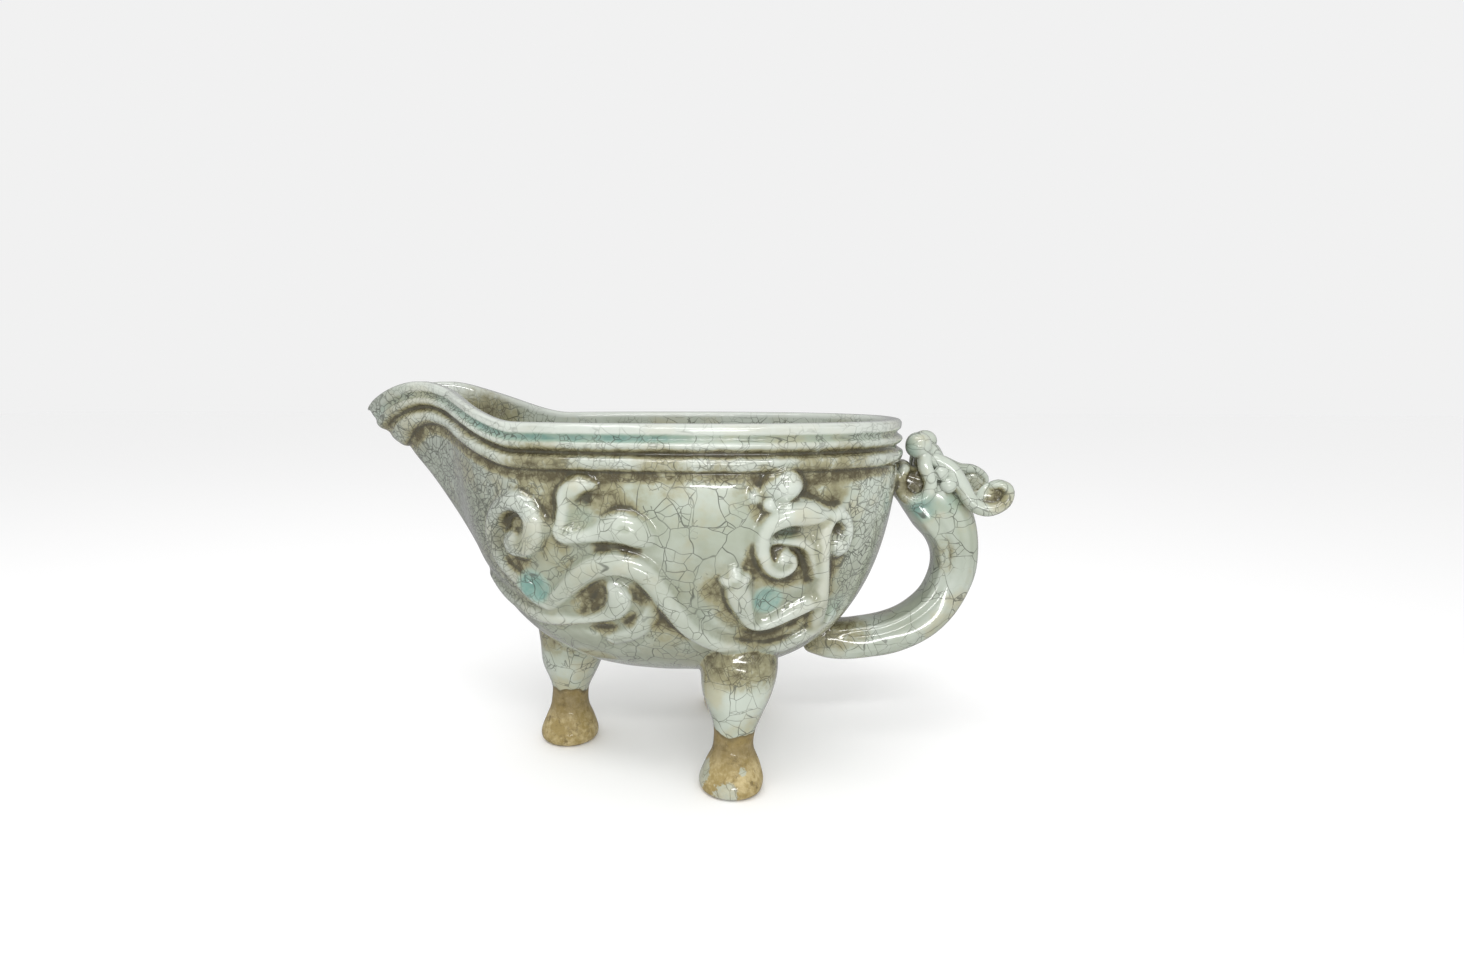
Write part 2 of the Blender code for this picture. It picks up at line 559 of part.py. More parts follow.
def build_cord(name, rows, spacing, side):
    """Free cord of clay: an oval section carried along a path in space."""
    path = even_path(rows, spacing, 3)
    point = path[:, :3] * np.array([1.0, side, 1.0])
    tangent = np.gradient(point, axis=0)
    tangent = tangent / np.linalg.norm(tangent, axis=1, keepdims=True)
    across = np.cross(tangent, np.array([0.0, 1.0, 0.0]))
    across = across / np.linalg.norm(across, axis=1, keepdims=True)
    broad = np.cross(across, tangent)
    u, v = rounded_section(6, 2.0)
    rings = []
    for p, n, b, (_, _, _, width, thick) in zip(point, across, broad, path):
        rings.append(p + np.outer(u, n) * thick * 0.5 + np.outer(v, b) * width * 0.5)
    start = point[0] - tangent[0] * path[0, 4] * 0.4
    end = point[-1] + tangent[-1] * path[-1, 4] * 0.4
    return loft(name, rings, start, end)


def build_head():
    """Dragon's head: nose bosses, bridge, lip, ears, jaws on both sides and a pair of mane locks."""
    made = []
    for name, centre, radii in HEAD_BOSSES:
        detail = 2 if radii[0] > FINE_BOSS else 1
        made.append(build_boss(name, centre, radii, (0.0, 0.0, 1.0), detail))
    made.append(build_cord("jaw_near", JAW, JAW_STEP, -1.0))
    made.append(build_cord("jaw_far", JAW, JAW_STEP, 1.0))
    made.append(build_cord("near_horn", NEAR_HORN, HORN_STEP, 1.0))
    made.append(build_cord("far_horn", FAR_HORN, HORN_STEP, 1.0))
    return made


def join_all(bowl, parts):
    """Union every added form with the bowl, so that the vessel is one closed body."""
    group = bpy.data.collections.new("added_forms")
    bpy.context.scene.collection.children.link(group)
    for part in parts:
        bpy.context.scene.collection.objects.unlink(part)
        group.objects.link(part)
        part.hide_render = True
        part.display_type = "WIRE"
    union = bowl.modifiers.new("one_body", "BOOLEAN")
    union.operation = "UNION"
    union.operand_type = "COLLECTION"
    union.collection = group
    union.solver = "EXACT"
    weld = bowl.modifiers.new("close_points", "WELD")
    weld.merge_threshold = WELD


def glaze(obj):
    """Pale celadon glaze on the fired body, shaded smooth except at its sharp turns."""
    material = bpy.data.materials.new("celadon_glaze")
    material.use_nodes = True
    shader = material.node_tree.nodes["Principled BSDF"]
    shader.inputs["Base Color"].default_value = GLAZE_COLOUR
    shader.inputs["Roughness"].default_value = GLAZE_ROUGHNESS
    shader.inputs["Metallic"].default_value = 0.0
    obj.data.materials.append(material)
    obj.data.shade_smooth()
    obj.data.set_sharp_from_angle(angle=SHARP_ANGLE)


def main():
    clear_scene()
    bowl = build_bowl()
    parts = [build_leg("front_leg", FRONT_FOOT), build_leg("near_leg", NEAR_FOOT)]
    parts.append(build_leg("far_leg", FAR_FOOT))
    parts.append(build_handle())
    for side in (1.0, -1.0):
        for name, rows, spacing in BANDS:
            parts.append(build_band(name, rows, spacing, side))
        parts += build_side_bosses(side)
    parts += build_head()
    join_all(bowl, parts)
    glaze(bowl)


main()
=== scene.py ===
"""Tripod yi of celadon-glazed stoneware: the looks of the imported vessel.

One glazed piece stands for the solid: the bowl with its relief dragons, the three cup feet, and
the loop handle with its dragon's head, worked out as numpy surfaces, joined, and softened at the
joins as slip and glaze soften them. It is laid out as an add-on and run as a script.
"""

import json

import bpy
import numpy as np
from bpy.props import FloatProperty, FloatVectorProperty, IntProperty, PointerProperty
from bpy.types import Operator, Panel, PropertyGroup
from mathutils import Matrix, Vector

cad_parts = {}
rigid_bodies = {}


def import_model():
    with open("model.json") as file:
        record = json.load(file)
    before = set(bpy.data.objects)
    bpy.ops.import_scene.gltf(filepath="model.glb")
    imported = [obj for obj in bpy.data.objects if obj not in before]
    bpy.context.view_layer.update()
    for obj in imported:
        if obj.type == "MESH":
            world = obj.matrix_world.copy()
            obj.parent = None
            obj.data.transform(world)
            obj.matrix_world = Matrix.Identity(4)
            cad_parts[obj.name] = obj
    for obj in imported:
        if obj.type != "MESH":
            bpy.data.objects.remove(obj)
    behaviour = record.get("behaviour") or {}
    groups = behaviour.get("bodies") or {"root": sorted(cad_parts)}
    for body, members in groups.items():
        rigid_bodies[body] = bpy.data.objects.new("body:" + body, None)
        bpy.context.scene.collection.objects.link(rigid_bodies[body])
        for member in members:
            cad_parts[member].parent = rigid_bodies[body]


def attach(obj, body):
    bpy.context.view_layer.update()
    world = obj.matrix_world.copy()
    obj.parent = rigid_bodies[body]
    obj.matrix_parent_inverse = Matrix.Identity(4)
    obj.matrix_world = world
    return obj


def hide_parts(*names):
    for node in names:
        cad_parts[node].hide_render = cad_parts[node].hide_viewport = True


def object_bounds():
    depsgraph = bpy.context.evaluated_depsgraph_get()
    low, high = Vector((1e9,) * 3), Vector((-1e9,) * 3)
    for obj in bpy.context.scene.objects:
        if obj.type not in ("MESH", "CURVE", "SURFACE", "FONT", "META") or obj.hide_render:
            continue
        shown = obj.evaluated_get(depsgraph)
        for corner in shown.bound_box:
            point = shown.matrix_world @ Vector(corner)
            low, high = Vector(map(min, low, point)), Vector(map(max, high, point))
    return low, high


bl_info = {
    "name": "Celadon tripod yi",
    "version": (1, 0, 0),
    "blender": (4, 5, 0),
    "location": "3D View > Sidebar > Yi vessel",
    "description": "Builds the glazed tripod pouring vessel with its relief, head and stage",
    "category": "Object",
}

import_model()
CAD_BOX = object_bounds()

NODE = "yi_vessel"
PIECE = "yi_vessel_glazed"
MM = 0.001
SLIVER = 0.03 * MM
TURN = 2.0 * np.pi

# Bowl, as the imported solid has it: half lengths and half width at the rim, and the heights
BOWL_X = 1.6 * MM
BACK = 64.0 * MM
FRONT = 73.0 * MM
HALF_WIDTH = 45.0 * MM
RIM_HEIGHT = 111.0 * MM
BELLY_HEIGHT = 32.4 * MM
PLAN_POWER = 2.3
BELLY_POWER = 2.5
BELLY_ROUND = 0.33
WALL = 4.4 * MM
FLOOR = 5.2 * MM

# Spout: run beyond the bowl, angular width, fullness under the tip, and its rise above the rim
SPOUT = 28.2 * MM
SPOUT_SPREAD = 0.2285
SPOUT_CHANNEL = 0.185
SPOUT_BLUNT = 2.5
SPOUT_FOOT = 0.3
SPOUT_CURVE = 2.25
NOSE = 3.2 * MM
NOSE_AT = 0.925
NOSE_SPREAD = 0.05
SPOUT_RISE = 10.5 * MM
RISE_START = 43.0 * MM
RISE_PEAK = 78.0 * MM
TIP_DROP = 0.75

# Rim mouldings from the wall up to the lip, in mm: depth below the lip, and stand out of the wall
MOULDINGS = (
    (12.4, -0.6), (11.6, 0.5), (10.2, 1.0), (9.0, 0.8), (8.2, -0.6), (7.4, -1.0), (6.6, 0.0),
    (5.7, 0.55), (4.9, 0.2), (4.2, -0.9), (3.4, -1.0), (2.7, -0.2), (1.8, 0.0), (1.0, 0.0),
)

# Feet in mm: the middle of the sole and of the thigh, how far the thigh is drawn up between two
# heights, and the radius at each height
FEET = (
    ("front_leg", (-40.5, 2.0), (-37.5, 1.0), 6.0),
    ("near_leg", (17.0, -29.5), (18.6, -24.5), 0.0),
    ("far_leg", (15.5, 34.0), (18.5, 25.0), 0.0),
)
THIGH_HEIGHT = 36.0 * MM
DRAWN_UP = (26.0, 42.0)
LEG_PROFILE = (
    (0.0, 7.9), (0.5, 8.9), (1.6, 9.7), (4.0, 9.9), (8.0, 8.6), (12.5, 6.7), (16.5, 6.25),
    (20.0, 6.5), (24.0, 7.9), (30.0, 10.4), (37.0, 11.9), (42.0, 11.8), (45.5, 9.8), (48.0, 5.0),
)

# Handle in mm: points of the centre line (x, z), its thickness in the loop's plane and its width
HANDLE = (
    (39.5, 38.4, 5.0, 9.0), (46.5, 39.6, 12.0, 13.0), (56.0, 40.0, 13.8, 14.4),
    (66.0, 41.8, 14.2, 14.6), (75.0, 46.0, 14.2, 14.4), (82.0, 53.0, 14.0, 14.0),
    (85.6, 61.5, 14.2, 14.0), (86.0, 69.5, 14.6, 14.4), (84.0, 77.0, 16.4, 15.6),
    (79.6, 83.6, 18.0, 16.4), (74.0, 88.6, 15.6, 15.0), (68.6, 91.6, 11.6, 12.4),
    (64.4, 92.6, 8.6, 10.4),
)
HANDLE_UNDER_BOWL = 56.0 * MM
LOOP_MIDDLE = (64.0, 0.0, 66.0)

# Relief on the side wall in mm: bands with rows of (x, z, width, height above the wall)
BANDS = (
    (  # body, from the tail's root over the hump to the chest
        (-36.4, 59.4, 4.8, 1.8), (-30.1, 65.5, 5.6, 2.7), (-24.4, 70.8, 6.4, 3.3),
        (-19.2, 73.3, 6.8, 3.5), (-13.6, 73.7, 6.8, 3.5), (-8.2, 71.6, 6.8, 3.4),
        (-4.2, 67.0, 6.6, 3.3), (-0.3, 60.9, 6.2, 3.2), (4.5, 54.4, 5.8, 3.1),
        (10.1, 50.0, 5.4, 3.0), (17.3, 47.2, 5.2, 2.9), (25.4, 45.8, 5.2, 2.8),
        (33.5, 47.6, 5.2, 2.6), (40.8, 51.9, 5.2, 2.4), (45.1, 55.5, 4.6, 2.0),
    ),
    (  # tail, up and round in a curl
        (-38.0, 59.6, 4.6, 1.6), (-41.5, 61.6, 4.8, 1.9), (-46.1, 66.6, 4.6, 2.1),
        (-50.7, 71.4, 4.2, 2.3), (-53.0, 77.2, 4.2, 2.5), (-51.5, 83.9, 4.4, 2.7),
        (-47.2, 88.7, 5.2, 3.0), (-42.2, 89.5, 6.0, 3.2), (-38.7, 85.9, 6.6, 3.2),
        (-38.8, 81.2, 6.6, 3.0), (-41.6, 76.9, 5.8, 2.8), (-44.7, 75.9, 4.8, 2.6),
    ),
    (  # fin under the tail, ending in a lobe below the hump
        (-58.7, 63.4, 3.0, 1.2), (-51.0, 58.6, 4.4, 1.8), (-43.2, 55.4, 5.4, 2.1),
        (-35.6, 54.9, 5.2, 2.1), (-27.5, 55.4, 3.2, 1.4), (-21.3, 56.9, 3.8, 1.8),
        (-16.6, 59.5, 5.8, 2.3), (-15.0, 63.3, 6.8, 2.5), (-16.5, 66.5, 4.0, 1.7),
    ),
    (  # outer fold of the lobe
        (-5.0, 63.6, 3.0, 0.7), (-6.5, 58.3, 5.0, 1.2), (-11.4, 52.3, 5.2, 1.3),
        (-18.1, 48.9, 4.4, 0.9),
    ),
    (  # hind foot, shin, knee and thigh
        (-21.7, 95.5, 3.2, 2.3), (-25.0, 94.9, 5.0, 3.0), (-28.1, 92.6, 5.0, 3.0),
        (-29.0, 88.9, 4.0, 2.6), (-29.8, 85.0, 4.0, 2.5), (-30.1, 81.7, 5.2, 2.7),
        (-25.8, 81.2, 4.2, 2.8), (-20.8, 82.2, 4.8, 3.1), (-16.3, 83.5, 7.0, 3.8),
        (-12.9, 84.0, 8.8, 4.2), (-9.8, 82.8, 8.0, 3.2), (-7.0, 81.4, 6.0, 1.0),
    ),
    (  # snout, sweeping down into the beard that curls in on itself
        (42.8, 87.1, 3.4, 2.2), (39.3, 87.2, 5.0, 3.2), (35.2, 87.8, 6.8, 4.2),
        (31.1, 87.8, 6.8, 4.4), (27.8, 86.3, 6.0, 3.8), (25.3, 83.8, 4.8, 3.1),
        (24.2, 80.6, 4.2, 2.8), (24.3, 77.0, 4.2, 2.8), (26.0, 73.6, 4.4, 2.8),
        (29.1, 71.8, 4.2, 2.8), (32.0, 73.3, 3.6, 2.6), (32.2, 75.6, 2.8, 2.4),
    ),
    (  # chin under the mouth, joining the neck
        (26.4, 80.3, 1.8, 1.4), (30.1, 80.2, 2.0, 1.5), (33.9, 79.5, 3.0, 1.8),
        (36.7, 78.0, 4.2, 2.0), (38.4, 74.6, 4.2, 2.0), (39.0, 70.5, 3.2, 1.9),
    ),
    (  # neck, up and over into the mane's curl
        (40.6, 53.9, 5.0, 2.3), (41.0, 60.1, 5.2, 2.8), (41.0, 66.3, 4.6, 3.0),
        (40.7, 72.2, 4.4, 3.0), (40.5, 77.7, 4.2, 2.9), (40.7, 82.0, 4.2, 2.7),
        (41.9, 85.4, 4.0, 2.7), (44.3, 87.0, 4.2, 2.6), (46.6, 84.7, 3.8, 2.5),
        (47.5, 81.0, 3.6, 2.3), (47.0, 77.5, 3.2, 2.1),
    ),
    (  # foreleg: paw, elbow and upper arm
        (17.0, 70.0, 5.6, 2.8), (18.0, 65.4, 6.8, 3.4), (19.6, 60.4, 5.4, 3.0),
        (21.9, 55.9, 4.0, 2.6), (25.7, 55.6, 4.0, 2.6), (30.6, 57.8, 4.6, 2.9),
        (36.0, 60.6, 5.4, 2.9), (39.0, 61.6, 4.6, 2.6),
    ),
)

# Grooves cut round the relief in mm: bands with rows of (x, z, width, depth)
GROOVES = (
    (  # crescent under the lobe
        (-26.0, 52.4, 2.6, 0.6), (-22.0, 52.4, 4.2, 1.2), (-16.5, 53.4, 4.4, 1.3),
        (-12.0, 56.4, 4.0, 1.2), (-9.6, 60.6, 3.2, 1.0), (-9.4, 64.6, 2.4, 0.5),
    ),
    (  # inside the hump, over the lobe
        (-26.2, 58.8, 3.6, 1.0), (-23.0, 62.6, 4.6, 1.4), (-20.4, 66.4, 3.0, 0.8),
    ),
    (  # inside the tail's curl
        (-47.4, 80.6, 2.6, 1.2), (-46.9, 84.0, 3.4, 1.6), (-44.6, 85.9, 3.2, 1.4),
        (-42.2, 84.2, 2.4, 0.8),
    ),
    (  # inside the beard's curl and down beside the neck
        (27.6, 78.0, 2.2, 1.2), (29.6, 79.0, 1.8, 0.9), (33.4, 77.6, 3.0, 1.5),
        (35.4, 74.6, 3.6, 1.5), (36.4, 70.6, 3.4, 1.2), (37.2, 66.6, 2.4, 0.8),
    ),
    (  # mouth
        (26.0, 82.0, 1.8, 0.8), (28.6, 82.6, 2.8, 1.9), (33.0, 82.8, 2.8, 1.8),
        (37.0, 82.4, 1.8, 0.8),
    ),
    (  # between the brow's boss and the snout
        (27.0, 92.2, 1.6, 0.7), (30.6, 92.4, 2.0, 1.0), (35.0, 92.8, 2.4, 1.0),
        (38.4, 91.4, 2.2, 0.8),
    ),
    (  # along the body under the foreleg
        (13.0, 58.4, 4.0, 0.7), (19.4, 52.4, 4.6, 1.1), (26.0, 51.4, 4.6, 1.2),
        (33.0, 53.4, 4.6, 1.2), (37.4, 56.6, 3.0, 0.8),
    ),
)

# Round bosses of the relief in mm: (x, z, radius, height above the wall)
BOSSES = (
    (29.8, 95.3, 4.1, 4.6), (27.2, 95.0, 3.6, 2.4), (25.7, 90.4, 1.9, 2.4),
    (28.7, 91.0, 1.5, 1.6), (22.1, 92.8, 2.2, 1.0), (29.7, 75.3, 2.6, 2.7),
    (-45.1, 77.7, 3.6, 3.2), (45.3, 77.8, 3.0, 2.8),
    (14.6, 69.6, 1.7, 2.7), (16.9, 71.6, 1.9, 3.1), (19.3, 70.2, 1.8, 2.9),
)

# Hollows pressed into the wall beside the relief, in mm: (x, z, radius, depth)
HOLLOWS = (
    (44.7, 82.8, 1.8, 1.4), (43.6, 75.3, 1.8, 0.9), (25.7, 63.4, 3.6, 1.2),
    (31.4, 68.9, 2.8, 0.8), (-40.1, 65.1, 3.6, 1.1), (-24.1, 86.0, 3.6, 0.9),
    (-22.6, 91.4, 2.6, 1.0), (-50.6, 71.0, 1.6, 0.6), (10.6, 66.4, 3.6, 0.5),
)

# Head of the dragon in mm: (x, y, z) and (half length, half width, half height) of each boss
HEAD_BOSSES = (
    ((71.4, -3.8, 103.0), (4.0, 3.8, 3.9)),
    ((74.6, 2.6, 103.6), (3.8, 3.6, 3.4)),
    ((75.8, 0.0, 97.0), (4.8, 5.2, 6.4)),
    ((67.6, 0.0, 94.4), (3.4, 6.4, 4.0)),
    ((78.0, -7.4, 95.0), (2.2, 1.8, 2.2)),
    ((78.0, 7.4, 95.0), (2.2, 1.8, 2.2)),
    ((80.6, -7.4, 91.6), (2.7, 2.2, 2.6)),
    ((80.6, 7.4, 91.6), (2.7, 2.2, 2.6)),
    ((93.6, -8.3, 88.5), (4.8, 1.5, 4.2)),
    ((92.2, 7.0, 90.8), (3.8, 1.9, 3.8)),
)

# Cords of clay on the head in mm, with rows of (x, y, z, width, thickness)
JAW = (
    (73.4, 3.6, 101.6, 4.4, 4.4), (73.4, 5.6, 97.0, 4.6, 4.4), (75.0, 7.2, 92.4, 4.4, 4.2),
    (74.2, 7.6, 88.2, 4.4, 4.2), (70.4, 7.0, 86.8, 4.4, 4.2), (67.0, 6.4, 89.4, 4.4, 4.2),
    (66.6, 5.8, 93.6, 4.2, 3.8), (68.4, 4.6, 97.2, 3.6, 3.2),
)
NEAR_HORN = (
    (74.8, -3.4, 99.4, 4.4, 4.4), (80.2, -5.6, 96.6, 4.8, 4.8), (84.2, -7.0, 91.6, 5.0, 4.8),
    (87.6, -8.0, 86.4, 5.2, 4.6), (92.4, -8.6, 84.6, 5.4, 4.4), (96.6, -8.8, 86.4, 5.4, 4.2),
    (97.4, -8.8, 90.2, 5.0, 3.6), (94.6, -8.6, 92.0, 4.4, 3.0), (91.6, -8.2, 90.8, 3.6, 2.6),
)
FAR_HORN = (
    (76.6, 3.2, 98.8, 4.0, 4.0), (82.0, 5.4, 96.8, 4.2, 4.0), (87.4, 6.8, 95.0, 4.2, 3.4),
    (91.8, 7.4, 94.6, 4.4, 2.9), (95.5, 7.4, 91.6, 4.4, 2.7), (93.2, 7.4, 87.6, 4.4, 2.6),
    (89.6, 7.4, 89.0, 4.2, 2.5), (90.6, 7.4, 91.9, 4.0, 2.2), (93.0, 7.4, 90.9, 3.8, 2.0),
)

# Cords by name, with their rows and the side they lie on (-1 turns them over to the near side)
CORDS = (("jaw_near", JAW, -1.0), ("jaw_far", JAW, 1.0), ("near_horn", NEAR_HORN, 1.0),
         ("far_horn", FAR_HORN, 1.0))

# Soft ridges along the handle: their width in shares of a turn, and each one's place round the
# section in shares of a turn with its height in mm
RIDGE_WIDTH = 0.022
HANDLE_RIDGES = ((0.71, 0.5), (0.79, -0.6), (0.86, 0.5), (0.29, 0.5), (0.21, -0.6), (0.14, 0.5))

# Brown stain on the side wall in mm: (x, z, radius, strength)
WALL_STAINS = (
    (-18.2, 93.0, 5.0, 1.0), (-21.8, 91.2, 3.4, 1.3), (-12.8, 90.4, 6.0, 0.7),
    (-2.0, 97.4, 7.0, 0.6), (12.0, 97.4, 6.0, 0.4), (20.4, 93.6, 5.0, 0.5),
    (22.0, 76.6, 3.0, 0.9), (22.4, 73.4, 3.4, 1.2), (27.8, 77.2, 2.6, 1.3),
    (34.2, 75.4, 3.6, 1.5), (36.0, 70.6, 3.4, 1.4), (26.6, 69.6, 4.0, 1.2),
    (31.6, 69.0, 4.0, 0.9), (10.6, 67.0, 4.0, 1.2), (13.0, 62.4, 4.0, 0.8),
    (15.6, 57.6, 4.0, 0.7), (22.0, 50.8, 4.6, 0.9), (29.6, 51.6, 5.4, 1.2),
    (37.0, 55.4, 4.0, 0.9), (-3.6, 57.6, 4.6, 0.9), (-8.6, 64.6, 3.6, 1.0),
    (-2.0, 51.6, 6.0, 0.7), (-47.0, 70.4, 3.2, 1.1), (-46.4, 84.0, 4.0, 1.1),
    (-23.0, 62.4, 4.0, 1.6), (-26.0, 59.6, 3.4, 1.3), (-20.6, 65.4, 3.0, 1.2),
    (-20.6, 52.8, 3.8, 1.1), (-12.6, 55.9, 3.0, 1.0), (42.0, 93.0, 5.0, 1.0),
    (45.0, 99.0, 7.0, 0.8), (36.0, 97.6, 5.0, 0.9), (-33.0, 97.6, 8.0, 1.0),
    (-40.0, 99.0, 7.0, 0.7), (-33.6, 88.0, 3.6, 0.7), (44.4, 71.4, 4.0, 0.9),
    (45.6, 64.6, 3.0, 0.5), (44.8, 83.0, 1.8, 1.2), (-33.0, 75.0, 5.0, 0.6),
    (-12.0, 78.6, 3.4, 0.9), (-19.0, 78.2, 3.0, 0.8), (30.6, 82.6, 3.4, 1.0),
    (24.4, 98.0, 3.0, 0.9), (35.6, 95.4, 3.4, 1.1), (23.4, 88.0, 3.0, 0.7),
    (31.4, 92.4, 2.0, 1.0), (-44.0, 71.6, 3.4, 0.7),
)

# Brown stain elsewhere in mm: (x, y, z, radius, strength)
OTHER_STAINS = (
    (52.0, -7.0, 46.0, 8.0, 1.2), (52.0, 7.0, 46.0, 8.0, 1.0), (66.0, -7.0, 89.0, 5.0, 1.0),
    (66.0, 7.0, 89.0, 5.0, 1.0), (70.0, -6.0, 92.0, 4.0, 1.2), (70.0, 6.0, 92.0, 4.0, 1.1),
    (70.6, -5.0, 92.0, 3.2, 2.2), (70.6, 5.0, 92.0, 3.2, 2.2), (94.4, -9.4, 88.8, 3.6, 0.55),
    (92.2, 9.0, 90.8, 4.6, 0.8), (68.0, 0.0, 99.0, 5.0, 0.9),
    (75.0, 0.0, 92.0, 6.0, 0.5), (84.0, -6.0, 88.0, 4.0, 0.9), (95.0, -8.0, 88.0, 4.0, 0.9),
    (-66.0, 9.0, 113.0, 9.0, 1.1), (-58.0, 16.0, 110.0, 9.0, 0.8), (-74.0, 0.0, 108.0, 9.0, 0.7),
    (-48.0, 22.0, 104.0, 9.0, 0.5), (81.0, -6.0, 70.0, 5.0, 0.5), (20.0, 0.0, 36.0, 20.0, 0.35),
)

# Pools of thick blue-green glaze on the side wall in mm: (x, z, radius, strength)
WALL_POOLS = (
    (-40.4, 64.8, 4.8, 1.9), (26.0, 63.0, 4.0, 1.9), (-24.6, 86.6, 4.6, 0.5),
    (30.4, 82.6, 3.6, 0.5), (46.0, 58.0, 5.0, 0.5), (8.0, 58.6, 5.0, 0.3),
)

# Pools of thick blue-green glaze elsewhere in mm: (x, y, z, radius, strength)
OTHER_POOLS = (
    (73.4, -8.0, 84.4, 4.6, 1.4), (73.4, 8.0, 84.4, 4.6, 1.1), (82.0, -7.0, 86.0, 3.6, 0.8),
    (69.4, -5.0, 102.0, 3.0, 0.9),
)

# Drips of glaze on the bare feet in mm: (x, y, z, radius, strength)
DRIPS = ((7.8, -31.0, 6.0, 4.6, 1.2), (15.0, -38.4, 2.4, 4.4, 1.0), (20.6, -36.8, 9.6, 1.7, 0.9))

# Every stain, pool and drip reaches this many times its radius, and fades by this power
SPOT_REACH = 1.35
SPOT_POWER = 1.2

# Zones of the bowl's rows, kept as face indices through the joining; the depth in mm below the
# lip beyond which each zone of the rim lies; and the height share at which the wall's top begins
WALL_ZONE, RIM_ZONE, UPPER_GROOVE, LOWER_GROOVE, UNDER_RIM, LIP_ZONE, INSIDE, ADDED = range(8)
ZONES = 8
RIM_ZONES = ((11.9, UNDER_RIM), (8.7, RIM_ZONE), (6.6, LOWER_GROOVE), (4.9, RIM_ZONE),
             (2.8, UPPER_GROOVE))
UNDER_RIM_SHARE = 0.955

# Fineness: where the wall's columns and rows lie close, and the steps and sides of the rest
RELIEF_FRONT, RELIEF_BACK, RELIEF_FADE = -66.0 * MM, 58.0 * MM, 6.0 * MM
RELIEF_FOOT, FOOT_FADE = 40.0 * MM, 3.0 * MM
BELLY_STEP = 2.2 * MM
COLUMNS_PER_RADIAN = 3.0
LIP_STEPS = 4
INSIDE_ROWS = 16
LEG_SIDES, HANDLE_SIDES, CORD_SIDES, BOSS_SIDES = 52, 56, 20, 26
BOSS_ROWS = 16
BAND_STEP, HANDLE_STEP, CORD_STEP = 0.5 * MM, 1.3 * MM, 0.8 * MM

# Unevenness of hand work: seeds, the size of its swells, how strong it is on each form, the
# number of waves in it, and the gain that brings their mean to about 1
BOWL_SEED, HANDLE_SEED, DRIFT_SEED, LEG_SEED, BOSS_SEED, CORD_SEED = 3, 11, 13, 20, 40, 51
HANDLE_SWELL, DRIFT_SWELL, LEG_SWELL = 9.0 * MM, 16.0 * MM, 7.0 * MM
BOSS_SWELL, CORD_SWELL = 3.0 * MM, 4.0 * MM
HANDLE_ROUGH, LEG_ROUGH, BOSS_ROUGH, CORD_ROUGH = 1.2, 1.3, 0.04, 0.06
WAVES = 7
WAVE_GAIN = 1.6

# Places in mm between which a cast, a stain or painted shade grows from nil to full, along x, y or z
LEG_TOP = (31.0, 42.0)
OFF_HANDLE = (-50.0, -40.0)
FAR_SIDE = (4.0, 20.0)
STAINED_FRONT, STAINED_BACK = (-8.0, 24.0), (24.0, 38.0)
POOLED_FRONT, POOLED_SPOUT = (-12.0, 6.0), (-76.0, -52.0)
SPOUT_CRACKLE, BACK_CRACKLE, BOWL_CRACKLE = (34.0, 56.0), (40.0, 50.0), (44.0, 52.0)
# The loop's ranges set where painted shade darkens the handle's inner face and lower part
LOOP, LOOP_SHADE, LOOP_FACING = (58.0, 66.0), (-80.0, -70.0), (0.3, 0.9)
WORN_TIP = (74.0, 92.0)
# Painted shade: heights below which the outer wall darkens
LOW_WALL_SHADE = (-96.0, -66.0)
FLAT_MOULDINGS = (86.0, 97.0)
HANDLE_ROOT, HANDLE_TOP = (46.0, 62.0), (-84.0, -70.0)

# Depth of a hollow, a raised form and a corner that count as full
FULL_HOLLOW, FULL_RAISED, FULL_CORNER, FULL_CREST = 0.45 * MM, 0.4 * MM, 0.16 * MM, 0.15 * MM

# The photograph in pixels: its width and height, the focal length, and the point straight ahead
PHOTO_WIDTH, PHOTO_HEIGHT = 1464.0, 960.0
FOCAL_LENGTH = 753.6
STRAIGHT_AHEAD = (683.28, 599.34)
SENSOR_MM = 36.0

# Stage in metres: half the floor's side, what the lights shine at, each light's name, power,
# place and size, and the strength of the white wall that the camera sees
FLOOR_HALF = 3.0
LIGHTS_AIM = (0.0, 0.0, 0.07)
LIGHTS = (
    ("top_light", "key_power", (-0.12, -0.28, 0.72), (0.5, 0.16)),
    ("front_light", "front_power", (0.06, -0.40, 0.36), (0.3, 0.035)),
    ("strip_light", "strip_power", (0.062, -0.48, 0.045), (0.18, 0.028)),
)
WALL_BEHIND = 0.88


def linear(code):
    """Linear colour of an sRGB hex value such as C9CDC0."""
    parts = np.array([int(code[k:k + 2], 16) for k in (0, 2, 4)]) / 255.0
    low, high = parts / 12.92, ((parts + 0.055) / 1.055) ** 2.4
    return tuple(float(v) for v in np.where(parts <= 0.04045, low, high))


